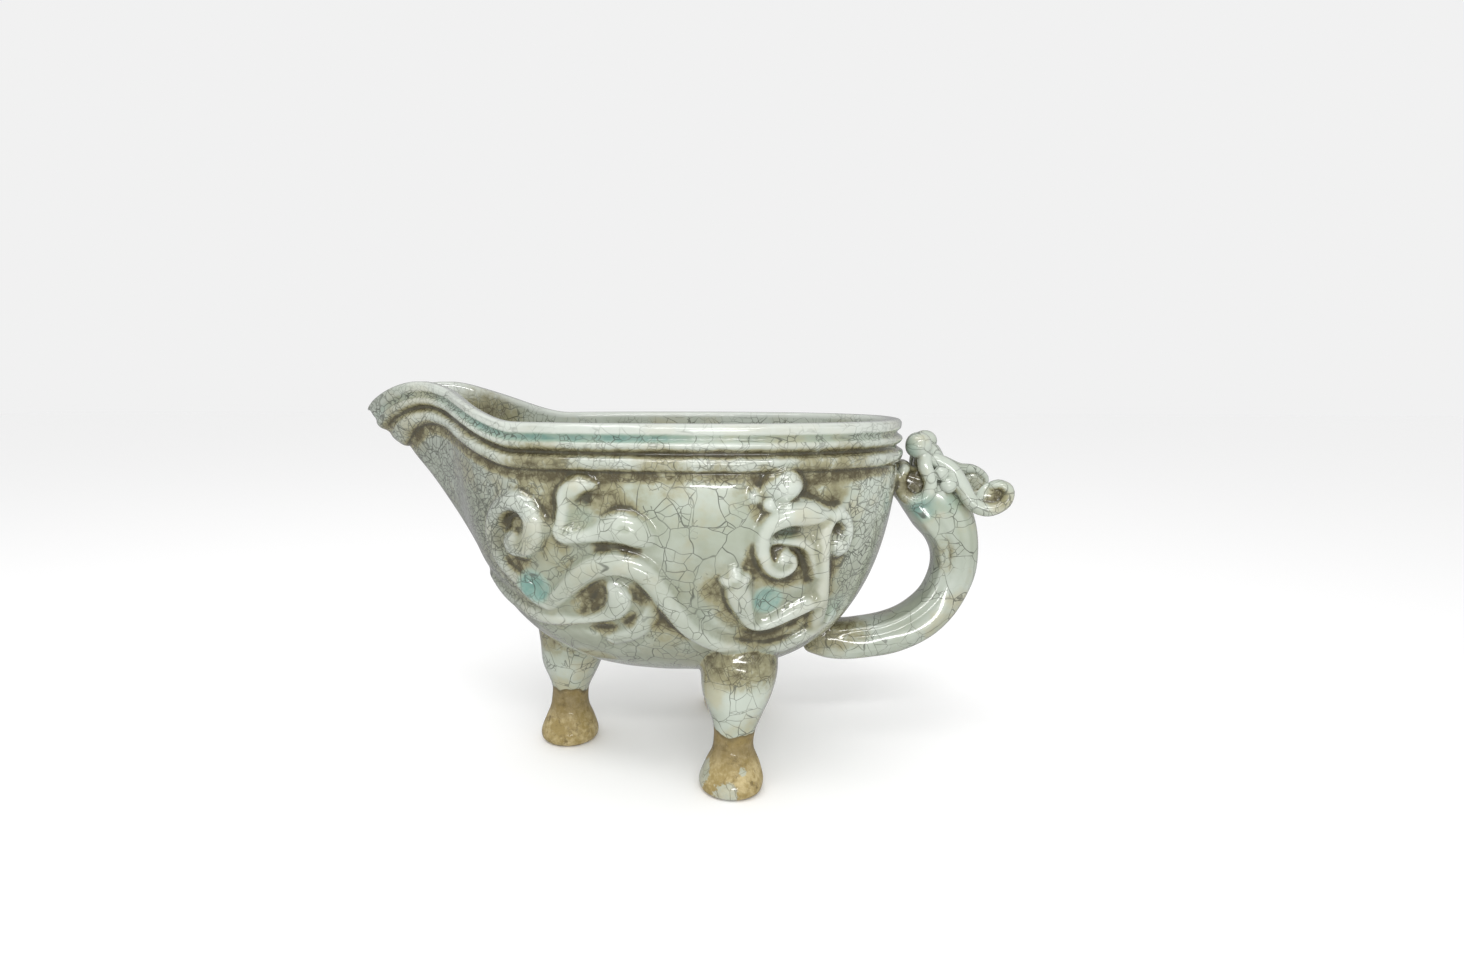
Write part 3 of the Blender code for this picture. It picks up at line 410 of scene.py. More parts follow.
class YiShape(PropertyGroup):
    """Fineness and hand finish of the clay."""

    fine_step: FloatProperty(
        name="Relief step", description="Spacing of the wall's columns and rows on the relief",
        default=0.76 * MM, min=0.3 * MM, unit="LENGTH", precision=5)
    wide_step: FloatProperty(
        name="Plain step", description="Spacing of the columns away from the relief",
        default=1.7 * MM, min=0.5 * MM, unit="LENGTH", precision=5)
    dome_power: FloatProperty(
        name="Dome power", description="How full the relief's cross-section is", default=0.6)
    spreading: FloatProperty(
        name="Spreading", description="Share by which clay is smeared out sideways", default=0.13)
    press: FloatProperty(
        name="Pressed ground", description="How far the ground is pressed in beside the relief",
        default=0.3 * MM, unit="LENGTH", precision=5)
    press_reach: FloatProperty(
        name="Press reach", description="How far from the relief the ground is pressed in",
        default=2.4 * MM, unit="LENGTH", precision=5)
    hand_wave: FloatProperty(
        name="Hand wave", description="Unevenness left by hand forming",
        default=0.2 * MM, unit="LENGTH", precision=5)
    lip_round: FloatProperty(
        name="Lip rounding", description="Radius of the lip's two edges",
        default=1.4 * MM, unit="LENGTH", precision=5)
    join_passes: IntProperty(
        name="Join passes", description="Smoothing passes at the joins of the added forms",
        default=16, min=0)


class YiGlaze(PropertyGroup):
    """Glaze, crackle and clay."""

    ground: FloatVectorProperty(
        name="Glaze", description="Pale celadon over the open wall",
        subtype="COLOR", default=linear("B4BCB0"))
    mottle: FloatVectorProperty(
        name="Thin glaze", description="Greyer glaze where the layer is thin",
        subtype="COLOR", default=linear("A0A896"))
    # Whiter glaze on the edges, and a painted highlight along the lip and the rim's ridges
    crest: FloatVectorProperty(
        name="Crest", description="Whiter glaze drawn off the high edges",
        subtype="COLOR", default=linear("DADFD8"))
    # Painted shade: the outer wall is drawn duller and darker towards the bottom
    low: FloatVectorProperty(
        name="Lower wall", description="Duller olive cast low on the wall",
        subtype="COLOR", default=linear("868B77"))
    warm: FloatVectorProperty(
        name="Warm glaze", description="Tan cast where iron shows through",
        subtype="COLOR", default=linear("AAA27E"))
    # Dark line where the relief meets the wall: stain held in the corner, and painted shade
    corner: FloatVectorProperty(
        name="Corner line", description="Dark line where the relief meets the wall",
        subtype="COLOR", default=linear("3F3D2E"))
    thin_pool: FloatVectorProperty(
        name="Pool's edge", description="Thinner blue-green round the pools",
        subtype="COLOR", default=linear("8FA596"))
    burnt_clay: FloatVectorProperty(
        name="Burnt clay", description="Brown specks of the biscuit",
        subtype="COLOR", default=linear("64542D"))
    pool: FloatVectorProperty(
        name="Pool", description="Thick blue-green glaze in the hollows",
        subtype="COLOR", default=linear("88AAA4"))
    deep_pool: FloatVectorProperty(
        name="Pool's middle", description="Darkest blue-green where the glaze is deepest",
        subtype="COLOR", default=linear("4E7F74"))
    light_stain: FloatVectorProperty(
        name="Light stain", description="Olive stain round the relief",
        subtype="COLOR", default=linear("8C8764"))
    dark_stain: FloatVectorProperty(
        name="Dark stain", description="Brown stain in the deepest corners",
        subtype="COLOR", default=linear("494128"))
    # Grey grime on the spout, its worn tip and the rim, and painted shade on the loop's inner face,
    # low on the handle and low on the belly
    grime: FloatVectorProperty(
        name="Grime", description="Grey rubbed into the fine crackle of the spout",
        subtype="COLOR", default=linear("62655A"))
    crack: FloatVectorProperty(
        name="Crack", description="Ink held in the crackle",
        subtype="COLOR", default=linear("474A40"))
    clay: FloatVectorProperty(
        name="Bare clay", description="Ochre biscuit of the feet",
        subtype="COLOR", default=linear("96834E"))
    pale_clay: FloatVectorProperty(
        name="Pale clay", description="Paler patches of the biscuit",
        subtype="COLOR", default=linear("BFAE80"))
    wide_cell: FloatProperty(
        name="Wide crackle", description="Size of the main crackle's cells",
        default=8.6 * MM, unit="LENGTH", precision=5)
    middle_cell: FloatProperty(
        name="Middle crackle", description="Size of the second crackle's cells",
        default=4.5 * MM, unit="LENGTH", precision=5)
    fine_cell: FloatProperty(
        name="Fine crackle", description="Size of the third crackle's cells",
        default=2.3 * MM, unit="LENGTH", precision=5)
    crack_width: FloatProperty(
        name="Crack width", description="Width of a main crack",
        default=0.2 * MM, unit="LENGTH", precision=5)
    glaze_edge: FloatProperty(
        name="Glaze edge", description="Height at which the glaze ends on the feet",
        default=20.0 * MM, unit="LENGTH", precision=5)


class YiStage(PropertyGroup):
    """Floor, lights and camera."""

    surround: FloatProperty(
        name="Surround", description="Strength of the white room", default=0.9)
    mirrored: FloatProperty(
        name="Mirrored room", description="Strength of the room in reflections", default=0.35)
    key_power: FloatProperty(
        name="Top light", description="Power of the large top light in watts", default=1.1)
    front_power: FloatProperty(
        name="Front light", description="Power of the small front light in watts", default=0.6)
    strip_power: FloatProperty(
        name="Strip light", description="Power of the narrow front light in watts", default=0.26)
    distance: FloatProperty(
        name="Camera distance", description="From the camera to the point it looks at",
        default=250.0 * MM, unit="LENGTH", precision=5)
    look_height: FloatProperty(
        name="Look height", description="Height of the point the camera looks at",
        default=52.0 * MM, unit="LENGTH", precision=5)
    azimuth: FloatProperty(
        name="Azimuth", description="Camera's turn round the vessel",
        default=np.radians(4.0), subtype="ANGLE")
    elevation: FloatProperty(
        name="Elevation", description="Camera's angle above the horizon",
        default=np.radians(15.95), subtype="ANGLE")


def unit(vectors):
    """The vectors at length 1."""
    return vectors / np.linalg.norm(vectors, axis=-1, keepdims=True)


def running(steps):
    """Running total of the steps, from nil."""
    return np.concatenate([[0.0], np.cumsum(steps)])


def clipped(values):
    """The values kept between 0 and 1."""
    return np.clip(values, 0.0, 1.0)


def share(r):
    """Share of the full plan at height share r: (1 - (1 - r)^p)^q, a steep round belly."""
    return (1.0 - (1.0 - r) ** BELLY_POWER) ** BELLY_ROUND


def rounded(v):
    """Cosine or sine to the power 2 / n with its sign kept, so the plan is a superellipse."""
    return np.sign(v) * np.abs(v) ** (2.0 / PLAN_POWER)


def plan(t, r, depth=0.0, spread=SPOUT_SPREAD):
    """Plan point at angle t and height share r, moved in by depth.

    x = centre + half length * share(r) * rounded(cos t) - spout and y = half width * share(r) *
    rounded(sin t). The spout is (run * reach(r) + nose(r)) * exp(-(angle off the spout / spread)^b).
    """
    c, s = np.cos(t), np.sin(t)
    off_spout = np.abs(np.mod(t, TURN) - np.pi)
    reach = clipped((r - SPOUT_FOOT) / (1.0 - SPOUT_FOOT)) ** SPOUT_CURVE
    nose = NOSE * np.exp(-((r - NOSE_AT) / NOSE_SPREAD) ** 2) if depth == 0.0 else 0.0
    spout = (SPOUT * reach + nose) * np.exp(-(off_spout / spread) ** SPOUT_BLUNT)
    half_length = np.where(c > 0.0, BACK, FRONT) - depth
    x = BOWL_X + half_length * share(r) * rounded(c) - spout
    y = (HALF_WIDTH - depth) * share(r) * rounded(s)
    return x, y


def rim_height(x):
    """Height of the lip at x: level, a smoothstep rise towards the spout, and a fall at the tip."""
    rise = clipped((-x - RISE_START) / (RISE_PEAK - RISE_START))
    rise = rise * rise * (3.0 - 2.0 * rise)
    tip = FRONT + SPOUT - BOWL_X
    past = clipped((-x - RISE_PEAK) / (tip - RISE_PEAK))
    return RIM_HEIGHT + SPOUT_RISE * rise * (1.0 - TIP_DROP * past * past)


def wall_point(t, r, depth=0.0, spread=SPOUT_SPREAD, floor=BELLY_HEIGHT):
    """Wall point at angle t and height share r: the plan point, at floor + (lip - floor) * r."""
    x, y = plan(t, r, depth, spread)
    top, _ = plan(t, np.ones_like(r), depth, spread)
    z = floor + (rim_height(top) - floor) * r
    return np.stack([x, y, z], axis=-1)


def wall_normal(t, r):
    """Unit normal of the outer wall: the cross product of its steps along t and along r."""
    step = 1e-4
    low, high = np.maximum(r - step, 0.0), np.minimum(r + step, 1.0)
    along = wall_point(t + step, r) - wall_point(t - step, r)
    up = wall_point(t, high) - wall_point(t, low)
    return unit(np.cross(along, up))


def depth_height(x, y, depth):
    """Height over (x, y) of the surface that lies depth inside the belly, from share() inverted."""
    half_length = np.where(x > BOWL_X, BACK, FRONT) - depth
    across = (np.abs(x - BOWL_X) / half_length) ** PLAN_POWER
    across = across + (np.abs(y) / (HALF_WIDTH - depth)) ** PLAN_POWER
    s = np.clip(across, 0.0, 0.999) ** (1.0 / PLAN_POWER)
    r = 1.0 - (1.0 - s ** (1.0 / BELLY_ROUND)) ** (1.0 / BELLY_POWER)
    floor = BELLY_HEIGHT + depth * FLOOR / WALL
    return floor + (RIM_HEIGHT - floor) * r


def side_points(x, z):
    """Points of the near wall at (x, z), away from the spout, where plan() can be inverted.

    The lip's height over the column is found first, in three rounds, then
    cos t = ((x - centre) / (half length * share(r)))^(n / 2).
    """
    top = np.full_like(x, RIM_HEIGHT)
    for _ in range(3):
        r = np.clip((z - BELLY_HEIGHT) / (top - BELLY_HEIGHT), 0.001, 1.0)
        out = (x - BOWL_X) / (np.where(x > BOWL_X, BACK, FRONT) * share(r))
        c = np.sign(out) * clipped(np.abs(out)) ** (PLAN_POWER / 2.0)
        t = TURN - np.arccos(c)
        top = rim_height(plan(t, np.ones_like(r))[0])
    return wall_point(t, r)


def smooth_path(points, steps=24):
    """Fine rows along the Catmull-Rom curve through the given rows; extra columns ride along."""
    p = np.asarray(points, float)
    p = np.vstack([2.0 * p[0] - p[1], p, 2.0 * p[-1] - p[-2]])
    u = np.linspace(0.0, 1.0, steps, endpoint=False)[None, :, None]
    a, b, c, d = (p[k:len(p) - 3 + k, None] for k in range(4))
    fine = 0.5 * (2.0 * b + (c - a) * u + (2.0 * a - 5.0 * b + 4.0 * c - d) * u ** 2
                  + (3.0 * b - a - 3.0 * c + d) * u ** 3)
    return np.vstack([fine.reshape(-1, p.shape[1]), p[-2:-1]])


def even_path(points, spacing, axes):
    """The smooth curve through the rows, in mm, as rows at equal steps of length, in metres."""
    fine = smooth_path(points) * MM
    length = running(np.linalg.norm(np.diff(fine[:, :axes], axis=0), axis=1))
    at = np.linspace(0.0, length[-1], max(3, int(round(length[-1] / spacing)) + 1))
    return np.stack([np.interp(at, length, fine[:, k]) for k in range(fine.shape[1])], axis=-1)


def hand_wave(points, seed, cell=14.0 * MM):
    """Slow unevenness from about -1 to 1: a mean of sine waves in seeded directions."""
    draw = np.random.default_rng(seed)
    waves = draw.normal(size=(WAVES, 3)) * TURN / (3.0 * cell)
    phases = draw.uniform(0.0, TURN, WAVES)
    wave = np.sin(points.reshape(-1, 3) @ waves.T + phases).mean(axis=-1) * WAVE_GAIN
    return wave.reshape(points.shape[:-1])


def nearness(points, centres, radii):
    """1 - (distance / radius)^2 from every point to every centre, not below nil."""
    square = (points ** 2).sum(-1)[:, None] + (centres ** 2).sum(-1) - 2.0 * points @ centres.T
    return np.clip(1.0 - np.maximum(square, 0.0) / radii ** 2, 0.0, None)


def mirrored(points):
    """The points with every far-side one moved to the near side, where the relief is laid out."""
    return points * np.array([1.0, 0.0, 1.0]) - np.abs(points) * np.array([0.0, 1.0, 0.0])


def swept(points, rows, power):
    """Height h (1 - (d / half width)^2)^p of domes swept along a band's centre line, and the
    distance e of every point from the band's edge."""
    path = even_path(rows, BAND_STEP, 2)
    centres = side_points(path[:, 0], path[:, 1])
    near = nearness(points, centres, 0.5 * path[:, 2])
    reach = 30.0 * MM
    far = nearness(points, centres, np.full(len(path), reach))
    edge = reach * np.sqrt(1.0 - clipped(far)) - 0.5 * path[:, 2]
    return (path[:, 3] * near ** power).max(axis=1), edge.min(axis=1)


def relief_height(points, shape):
    """Height of relief over the wall, and the depth the ground is pressed in beside it.

    Bands are swept domes, and each boss is one dome; both are drawn wider by the share
    spreading. Where forms meet they are blended as the fourth root of the sum of fourth powers.
    The ground sinks by press * exp(-(e / reach)^2) at distance e from the nearest form, and by
    the swept grooves and hollows.
    """
    total = np.zeros(len(points))
    away = np.full(len(points), 1.0)
    wider = np.array([1.0, 1.0, 1.0 + shape.spreading, 1.0])
    for rows in BANDS:
        form, edge = swept(points, np.array(rows) * wider, shape.dome_power)
        total += form ** 4
        away = np.minimum(away, edge)
    for x, z, radius, height in np.array(BOSSES) * wider * MM:
        centre = side_points(np.array([x]), np.array([z]))
        near = nearness(points, centre, np.array([radius]))[:, 0]
        total += (height * near ** shape.dome_power) ** 4
        away = np.minimum(away, np.linalg.norm(points - centre, axis=1) - radius)
    pressed = shape.press * np.exp(-(np.maximum(away, 0.0) / shape.press_reach) ** 2)
    for rows in GROOVES:
        pressed = np.maximum(pressed, swept(points, rows, 1.3)[0])
    for x, z, radius, depth in np.array(HOLLOWS) * MM:
        centre = side_points(np.array([x]), np.array([z]))
        dent = depth * nearness(points, centre, np.array([radius]))[:, 0] ** 1.5
        pressed = np.maximum(pressed, dent)
    return total ** 0.25, pressed


def surface(name, rings, start, end, zones=None):
    """Closed surface over rings (rows, columns, 3), ended by a point before and after them.

    Row i and column j give four-sided faces (i, j), (i, j+1), (i+1, j+1), (i+1, j), and fans close
    the two ends. Faces are turned round if the volume they enclose comes out negative.
    """
    rows, columns = rings.shape[:2]
    points = np.vstack([start, rings.reshape(-1, 3), end])
    k = np.arange(columns)
    n = (k + 1) % columns
    low = 1 + columns * np.arange(rows - 1)[:, None]
    quads = np.stack([low + k, low + n, low + columns + n, low + columns + k], axis=-1)
    quads = quads.reshape(-1, 4)
    last = 1 + columns * (rows - 1)
    fans = np.vstack([np.stack([0 * k, 1 + n, 1 + k], axis=-1),
                      np.stack([0 * k + len(points) - 1, last + k, last + n], axis=-1)])
    corners = np.vstack([quads[:, [0, 1, 2]], quads[:, [0, 2, 3]], fans])
    a, b, c = (points[corners[:, i]] for i in range(3))
    if (a * np.cross(b, c)).sum() < 0.0:
        quads, fans = quads[:, ::-1], fans[:, ::-1]
    loops = np.concatenate([quads.ravel(), fans.ravel()])
    starts = np.concatenate([4 * np.arange(len(quads)), 4 * len(quads) + 3 * np.arange(len(fans))])
    if zones is None:
        zones = np.full(rows, ADDED)
    indices = np.concatenate([np.repeat(zones[:-1], columns), np.full(columns, zones[0]),
                              np.full(columns, zones[-1])])
    mesh = bpy.data.meshes.new(name)
    mesh.vertices.add(len(points))
    mesh.vertices.foreach_set("co", points.astype(np.float32).ravel())
    mesh.loops.add(len(loops))
    mesh.loops.foreach_set("vertex_index", loops.astype(np.int32))
    mesh.polygons.add(len(starts))
    mesh.polygons.foreach_set("loop_start", starts.astype(np.int32))
    for zone in range(ZONES):
        mesh.materials.append(zone_material(zone))
    mesh.polygons.foreach_set("material_index", indices.astype(np.int32))
    mesh.update(calc_edges=True)
    obj = bpy.data.objects.new(name, mesh)
    parts_collection().objects.link(obj)
    return obj


def zone_material(zone):
    """Plain marker material of a zone, used only until the parts are joined."""
    name = f"zone_{zone}"
    return bpy.data.materials.get(name) or bpy.data.materials.new(name)


def parts_collection():
    """Collection that holds the parts until they are joined."""
    found = bpy.data.collections.get("yi_parts")
    if found is None:
        found = bpy.data.collections.new("yi_parts")
        bpy.context.scene.collection.children.link(found)
    return found


def bowl_columns(shape):
    """Angles of the columns: close together along the relief and round the spout's turns."""
    t = np.linspace(-np.pi, np.pi, 5761)
    x, y = plan(t, np.ones_like(t))
    dx, dy = np.diff(x), np.diff(y)
    middle = 0.5 * (x[1:] + x[:-1])
    relief = clipped((middle - RELIEF_FRONT) / RELIEF_FADE)
    relief = relief * clipped((RELIEF_BACK - middle) / RELIEF_FADE)
    heading = np.unwrap(np.arctan2(dy, dx))
    turn = np.abs(np.diff(heading, append=heading[0] + TURN))
    per_metre = relief / shape.fine_step + (1.0 - relief) / shape.wide_step
    count = running(np.hypot(dx, dy) * per_metre + COLUMNS_PER_RADIAN * turn)
    columns = int(count[-1])
    return np.interp(np.arange(columns) * count[-1] / columns, count, t)


def side_rows(shape):
    """Height shares of the wall's rows: wide steps under the belly, fine ones over the relief."""
    r = np.linspace(0.0, 1.0, 8001)
    p = wall_point(np.full_like(r, 1.5 * np.pi), r)
    step = np.linalg.norm(np.diff(p, axis=0), axis=1)
    relief = clipped((p[1:, 2] - RELIEF_FOOT) / FOOT_FADE)
    per_metre = relief / shape.fine_step + (1.0 - relief) / BELLY_STEP
    count = running(step * per_metre)
    return np.interp(np.arange(1, int(count[-1])) * count[-1] / int(count[-1]), count, r)


def lip_ring(t, inward, drop):
    """Ring on the lip: the outer and inner rim curves mixed by inward / wall, then lowered."""
    full = np.ones(len(t))
    part = inward / WALL
    ox, oy = plan(t, full)
    ix, iy = plan(t, full, WALL, SPOUT_CHANNEL)
    x = ox + (ix - ox) * part
    y = oy + (iy - oy) * part
    return np.stack([x, y, rim_height(x) - drop], axis=-1)


def bowl_surface(shape):
    """The hollow bowl as rings: relief wall, mouldings, rounded lip and smooth inner wall.

    The outer point is wall_point(t, r) + normal * (moulding + relief - pressed + hand wave); the
    mouldings flatten towards the spout's tip.
    """
    t = bowl_columns(shape)
    full = np.ones(len(t))
    lip_top = wall_point(t, full)[:, 2]
    profile = smooth_path(MOULDINGS, steps=2) * MM
    top_share = 1.0 - profile[0, 0] / (lip_top - BELLY_HEIGHT)
    shares = side_rows(shape)
    r_wall = shares[:, None] * top_share
    r_rim = 1.0 - profile[:, :1] / (lip_top - BELLY_HEIGHT)
    r = np.vstack([r_wall, r_rim])
    base = wall_point(t[None], r)
    normal = wall_normal(t[None] * np.ones_like(r), r)
    drop = lip_top - base[..., 2]
    below_rim = (drop - profile[0, 0]) / (4.0 * MM)
    near_rim = clipped(1.0 - below_rim)
    moulding = np.where(drop > profile[0, 0], profile[0, 1] * near_rim ** 2,
                        np.interp(drop, profile[::-1, 0], profile[::-1, 1]))
    moulding = moulding * (1.0 - 0.7 * ramp(-base[..., 0], *FLAT_MOULDINGS))
    relief, pressed = relief_height(mirrored(base.reshape(-1, 3)), shape)
    relief = soften(relief.reshape(r.shape), passes=2)
    pressed = soften(pressed.reshape(r.shape), passes=4) * clipped(below_rim)
    wave = hand_wave(base, BOWL_SEED) * shape.hand_wave
    out = moulding * (1.0 - relief / (relief + 1.0 * MM)) + relief - pressed + wave
    outer = base + normal * out[..., None]
    a = np.linspace(0.0, 0.5 * np.pi, LIP_STEPS + 1)[1:]
    edge = shape.lip_round
    lip = [lip_ring(t, edge * (1.0 - np.cos(v)), edge * (1.0 - np.sin(v))) for v in a]
    lip += [lip_ring(t, WALL - edge * (1.0 - np.cos(v)), edge * (1.0 - np.sin(v)))
            for v in a[::-1]]
    lip.append(lip_ring(t, WALL, edge))
    inner_floor = BELLY_HEIGHT + FLOOR
    down = 1.0 - 0.985 * np.linspace(0.0, 1.0, INSIDE_ROWS + 2)[1:-1] ** 1.25
    inner = wall_point(t[None], down[:, None] * full, WALL, SPOUT_CHANNEL, inner_floor)
    rings = np.concatenate([outer, np.array(lip), inner])
    rim_zone = np.select([profile[:, 0] > depth * MM for depth, _ in RIM_ZONES],
                         [zone for _, zone in RIM_ZONES], LIP_ZONE)
    wall_zone = np.where(shares > UNDER_RIM_SHARE, UNDER_RIM, WALL_ZONE)
    zones = np.concatenate([wall_zone, rim_zone, np.full(len(lip), LIP_ZONE),
                            np.full(len(inner), INSIDE)])
    start, end = (BOWL_X, 0.0, BELLY_HEIGHT), (BOWL_X, 0.0, inner_floor)
    return surface("bowl", rings, start, end, zones)


def soften(grid, passes):
    """Each value of a (rows, columns) grid mixed half and half with its four neighbours' mean."""
    for _ in range(passes):
        up = np.vstack([grid[1:], grid[-1:]])
        down = np.vstack([grid[:1], grid[:-1]])
        mean = 0.25 * (up + down + np.roll(grid, 1, axis=1) + np.roll(grid, -1, axis=1))
        grid = 0.5 * (grid + mean)
    return grid


def leg_surface(name, sole, thigh, raised, seed, shape):
    """Turned leg as rings of the profile's radius about a line that leans from sole to thigh.

    The radius is uneven by hand_wave, and the top is cut off at the middle of the bowl's wall.
    """
    profile = smooth_path(LEG_PROFILE, steps=5) * MM
    height, radius = profile[:, :1], profile[:, 1:]
    height = height + raised * MM * ramp(height, *DRAWN_UP)
    turn = np.arange(LEG_SIDES) * TURN / LEG_SIDES
    lean = clipped(height / THIGH_HEIGHT) ** 1.5
    middle = [(a + (b - a) * lean) for a, b in zip(np.array(sole) * MM, np.array(thigh) * MM)]
    x = middle[0] + radius * np.cos(turn)
    y = middle[1] + radius * np.sin(turn)
    round_points = np.stack([x, y, height + 0.0 * turn], axis=-1)
    uneven = hand_wave(round_points, seed, LEG_SWELL)
    rough = radius + shape.hand_wave * LEG_ROUGH * uneven * clipped(height / (2.0 * MM))
    x = middle[0] + rough * np.cos(turn)
    y = middle[1] + rough * np.sin(turn)
    z = np.minimum(height + 0.0 * turn, depth_height(x, y, 0.5 * WALL))
    rings = np.stack([x, y, z], axis=-1)
    thigh_x, thigh_y = np.array(thigh) * MM
    top = depth_height(np.array([thigh_x]), np.array([thigh_y]), 0.5 * WALL)[0]
    start = (sole[0] * MM, sole[1] * MM, 0.0)
    return surface(name, rings, start, (thigh_x, thigh_y, top))


def section(sides, power):
    """Unit rounded rectangle: cosine and sine to the power 2 / n with their signs kept."""
    a = (np.arange(sides) + 0.5) * TURN / sides
    c, s = np.cos(a), np.sin(a)
    return np.sign(c) * np.abs(c) ** (2.0 / power), np.sign(s) * np.abs(s) ** (2.0 / power)


def handle_surface(shape):
    """Handle and neck: a rounded square carried along the loop, square to it in its plane."""
    path = even_path(HANDLE, HANDLE_STEP, 2)
    tangent = unit(np.gradient(path[:, :2], axis=0))
    u, v = section(HANDLE_SIDES, power=2.7)
    tx, tz = tangent[:, :1], tangent[:, 1:]
    x = path[:, :1] - tz * u * path[:, 2:3] * 0.5
    z = path[:, 1:2] + tx * u * path[:, 2:3] * 0.5
    y = v * path[:, 3:4] * 0.5
    rings = np.stack([x, y, z], axis=-1)
    uneven = hand_wave(rings, HANDLE_SEED, HANDLE_SWELL)[..., None]
    middle = rings.mean(axis=1, keepdims=True)
    outward = unit(rings - middle)
    ridge = np.zeros(len(u))
    for at, height in HANDLE_RIDGES:
        off = (np.arange(len(u)) + 0.5) / len(u) - at
        ridge += height * MM * np.exp(-(off / RIDGE_WIDTH) ** 2)
    fade = ramp(path[:, :1], *HANDLE_ROOT) * (0.7 + 0.3 * ramp(-path[:, 1:2], *HANDLE_TOP))
    drift = hand_wave(middle, DRIFT_SEED, DRIFT_SWELL)
    lift = (shape.hand_wave * HANDLE_ROUGH * uneven
            + (fade * ridge * (1.0 + 0.5 * drift))[..., None])
    rings = rings + outward * (lift - 0.35 * MM * fade[..., None])
    x, y, z = rings[..., 0], rings[..., 1], rings[..., 2]
    sunk = np.minimum(z, depth_height(x, y, 0.5 * WALL))
    rings = np.stack([x, y, np.where(x < HANDLE_UNDER_BOWL, sunk, z)], axis=-1)
    return surface("handle", rings, rings[0].mean(axis=0), rings[-1].mean(axis=0))


def cord_surface(name, rows, side, seed, shape):
    """Cord of clay: an oval carried along a path in space, rounded off at both ends.

    Near an end the oval is scaled by sqrt(1 - (1 - d / e)^2), with d the way to the end.
    """
    path = even_path(rows, CORD_STEP, 3)
    point = path[:, :3] * np.array([1.0, side, 1.0])
    tangent = unit(np.gradient(point, axis=0))
    across = unit(np.cross(tangent, np.array([0.0, 1.0, 0.0])))
    broad = np.cross(across, tangent)
    u, v = section(CORD_SIDES, power=2.0)
    length = running(np.linalg.norm(np.diff(point, axis=0), axis=1))
    ends = np.minimum(length, length[-1] - length)
    taper = np.sqrt(1.0 - (1.0 - np.clip(ends / (0.5 * path[:, 4]), 0.02, 1.0)) ** 2)
    thick, width = path[:, 4] * 0.5 * taper, path[:, 3] * 0.5 * taper
    rings = (point[:, None] + across[:, None] * (thick[:, None] * u)[..., None]
             + broad[:, None] * (width[:, None] * v)[..., None])
    wave = hand_wave(rings, seed, CORD_SWELL)
    outward = rings - point[:, None]
    rings = rings + outward * (CORD_ROUGH * wave)[..., None]
    return surface(name, rings, point[0], point[-1])


def boss_surface(name, centre, radii, seed):
    """Rounded boss: the sphere's rings, stretched to three half sizes and made a little uneven."""
    a = np.linspace(0.0, np.pi, BOSS_ROWS + 2)[1:-1, None]
    b = np.arange(BOSS_SIDES) * TURN / BOSS_SIDES
    ball = np.stack([np.sin(a) * np.cos(b), np.sin(a) * np.sin(b), -np.cos(a) + 0.0 * b], axis=-1)
    centre, radii = np.array(centre) * MM, np.array(radii) * MM
    wave = hand_wave(centre + ball * radii, seed, BOSS_SWELL)
    rings = centre + ball * radii * (1.0 + BOSS_ROUGH * wave)[..., None]
    tip = np.array([0.0, 0.0, radii[2]])
    return surface(name, rings, centre - tip, centre + tip)


def averaged(values, edges):
    """Mean of each point's neighbours along the edges, for an array (points, columns)."""
    a, b = edges.T
    count = len(values)
    total = np.stack([np.bincount(a, column[b], count) + np.bincount(b, column[a], count)
                      for column in values.T], axis=-1)
    number = np.bincount(a, minlength=count) + np.bincount(b, minlength=count)
    return total / np.maximum(number, 1)[:, None]


def smoothed(values, edges, passes, amount=0.5):
    """The values moved towards their neighbours' mean by amount, over some passes."""
    for _ in range(passes):
        values = values + amount * (averaged(values, edges) - values)
    return values


def read(items, name, kind, width=1):
    """One value, or one row of values, of each of a mesh's items."""
    values = np.empty(len(items) * width, kind)
    items.foreach_get(name, values)
    return values.reshape(-1, width) if width > 1 else values


def zone_weights(mesh):
    """Share of each point's faces that lie in each zone, as an array (points, zones)."""
    corners = read(mesh.loops, "vertex_index", np.int32)
    totals = read(mesh.polygons, "loop_total", np.int32)
    of_corner = np.repeat(read(mesh.polygons, "material_index", np.int32), totals)
    count = len(mesh.vertices)
    weights = np.stack([np.bincount(corners[of_corner == zone], minlength=count)
                        for zone in range(ZONES)], axis=-1).astype(float)
    return weights / np.maximum(weights.sum(axis=1, keepdims=True), 1.0)


def join_parts():
    """One closed mesh: the bowl united with every added form, in triangles."""
    parts = parts_collection()
    bowl = parts.objects["bowl"]
    parts.objects.unlink(bowl)
    bpy.context.scene.collection.objects.link(bowl)
    union = bowl.modifiers.new("one_body", "BOOLEAN")
    union.operation = "UNION"
    union.operand_type = "COLLECTION"
    union.collection = parts
    union.solver = "MANIFOLD"
    bowl.modifiers.new("close_slivers", "WELD").merge_threshold = SLIVER
    bowl.modifiers.new("triangles", "TRIANGULATE")
    bpy.context.view_layer.update()
    ready = bowl.evaluated_get(bpy.context.evaluated_depsgraph_get())
    mesh = bpy.data.meshes.new_from_object(ready)
    for obj in list(parts.objects) + [bowl]:
        bpy.data.objects.remove(obj, do_unlink=True)
    bpy.data.collections.remove(parts)
    return mesh


def spots(points, rows, on_wall):
    """Sum of strength * (1 - (d / radius)^2)^1.2 over the given spots, at each point.

    Wall spots are (x, z, radius, strength) on both sides; others are (x, y, z, radius, strength).
    """
    table = np.array(rows)
    radii = table[:, -2] * MM * SPOT_REACH
    if on_wall:
        centres = side_points(table[:, 0] * MM, table[:, 1] * MM)
        points = mirrored(points)
    else:
        centres = table[:, :3] * MM
    return (nearness(points, centres, radii) ** SPOT_POWER * table[:, -1]).sum(axis=1)


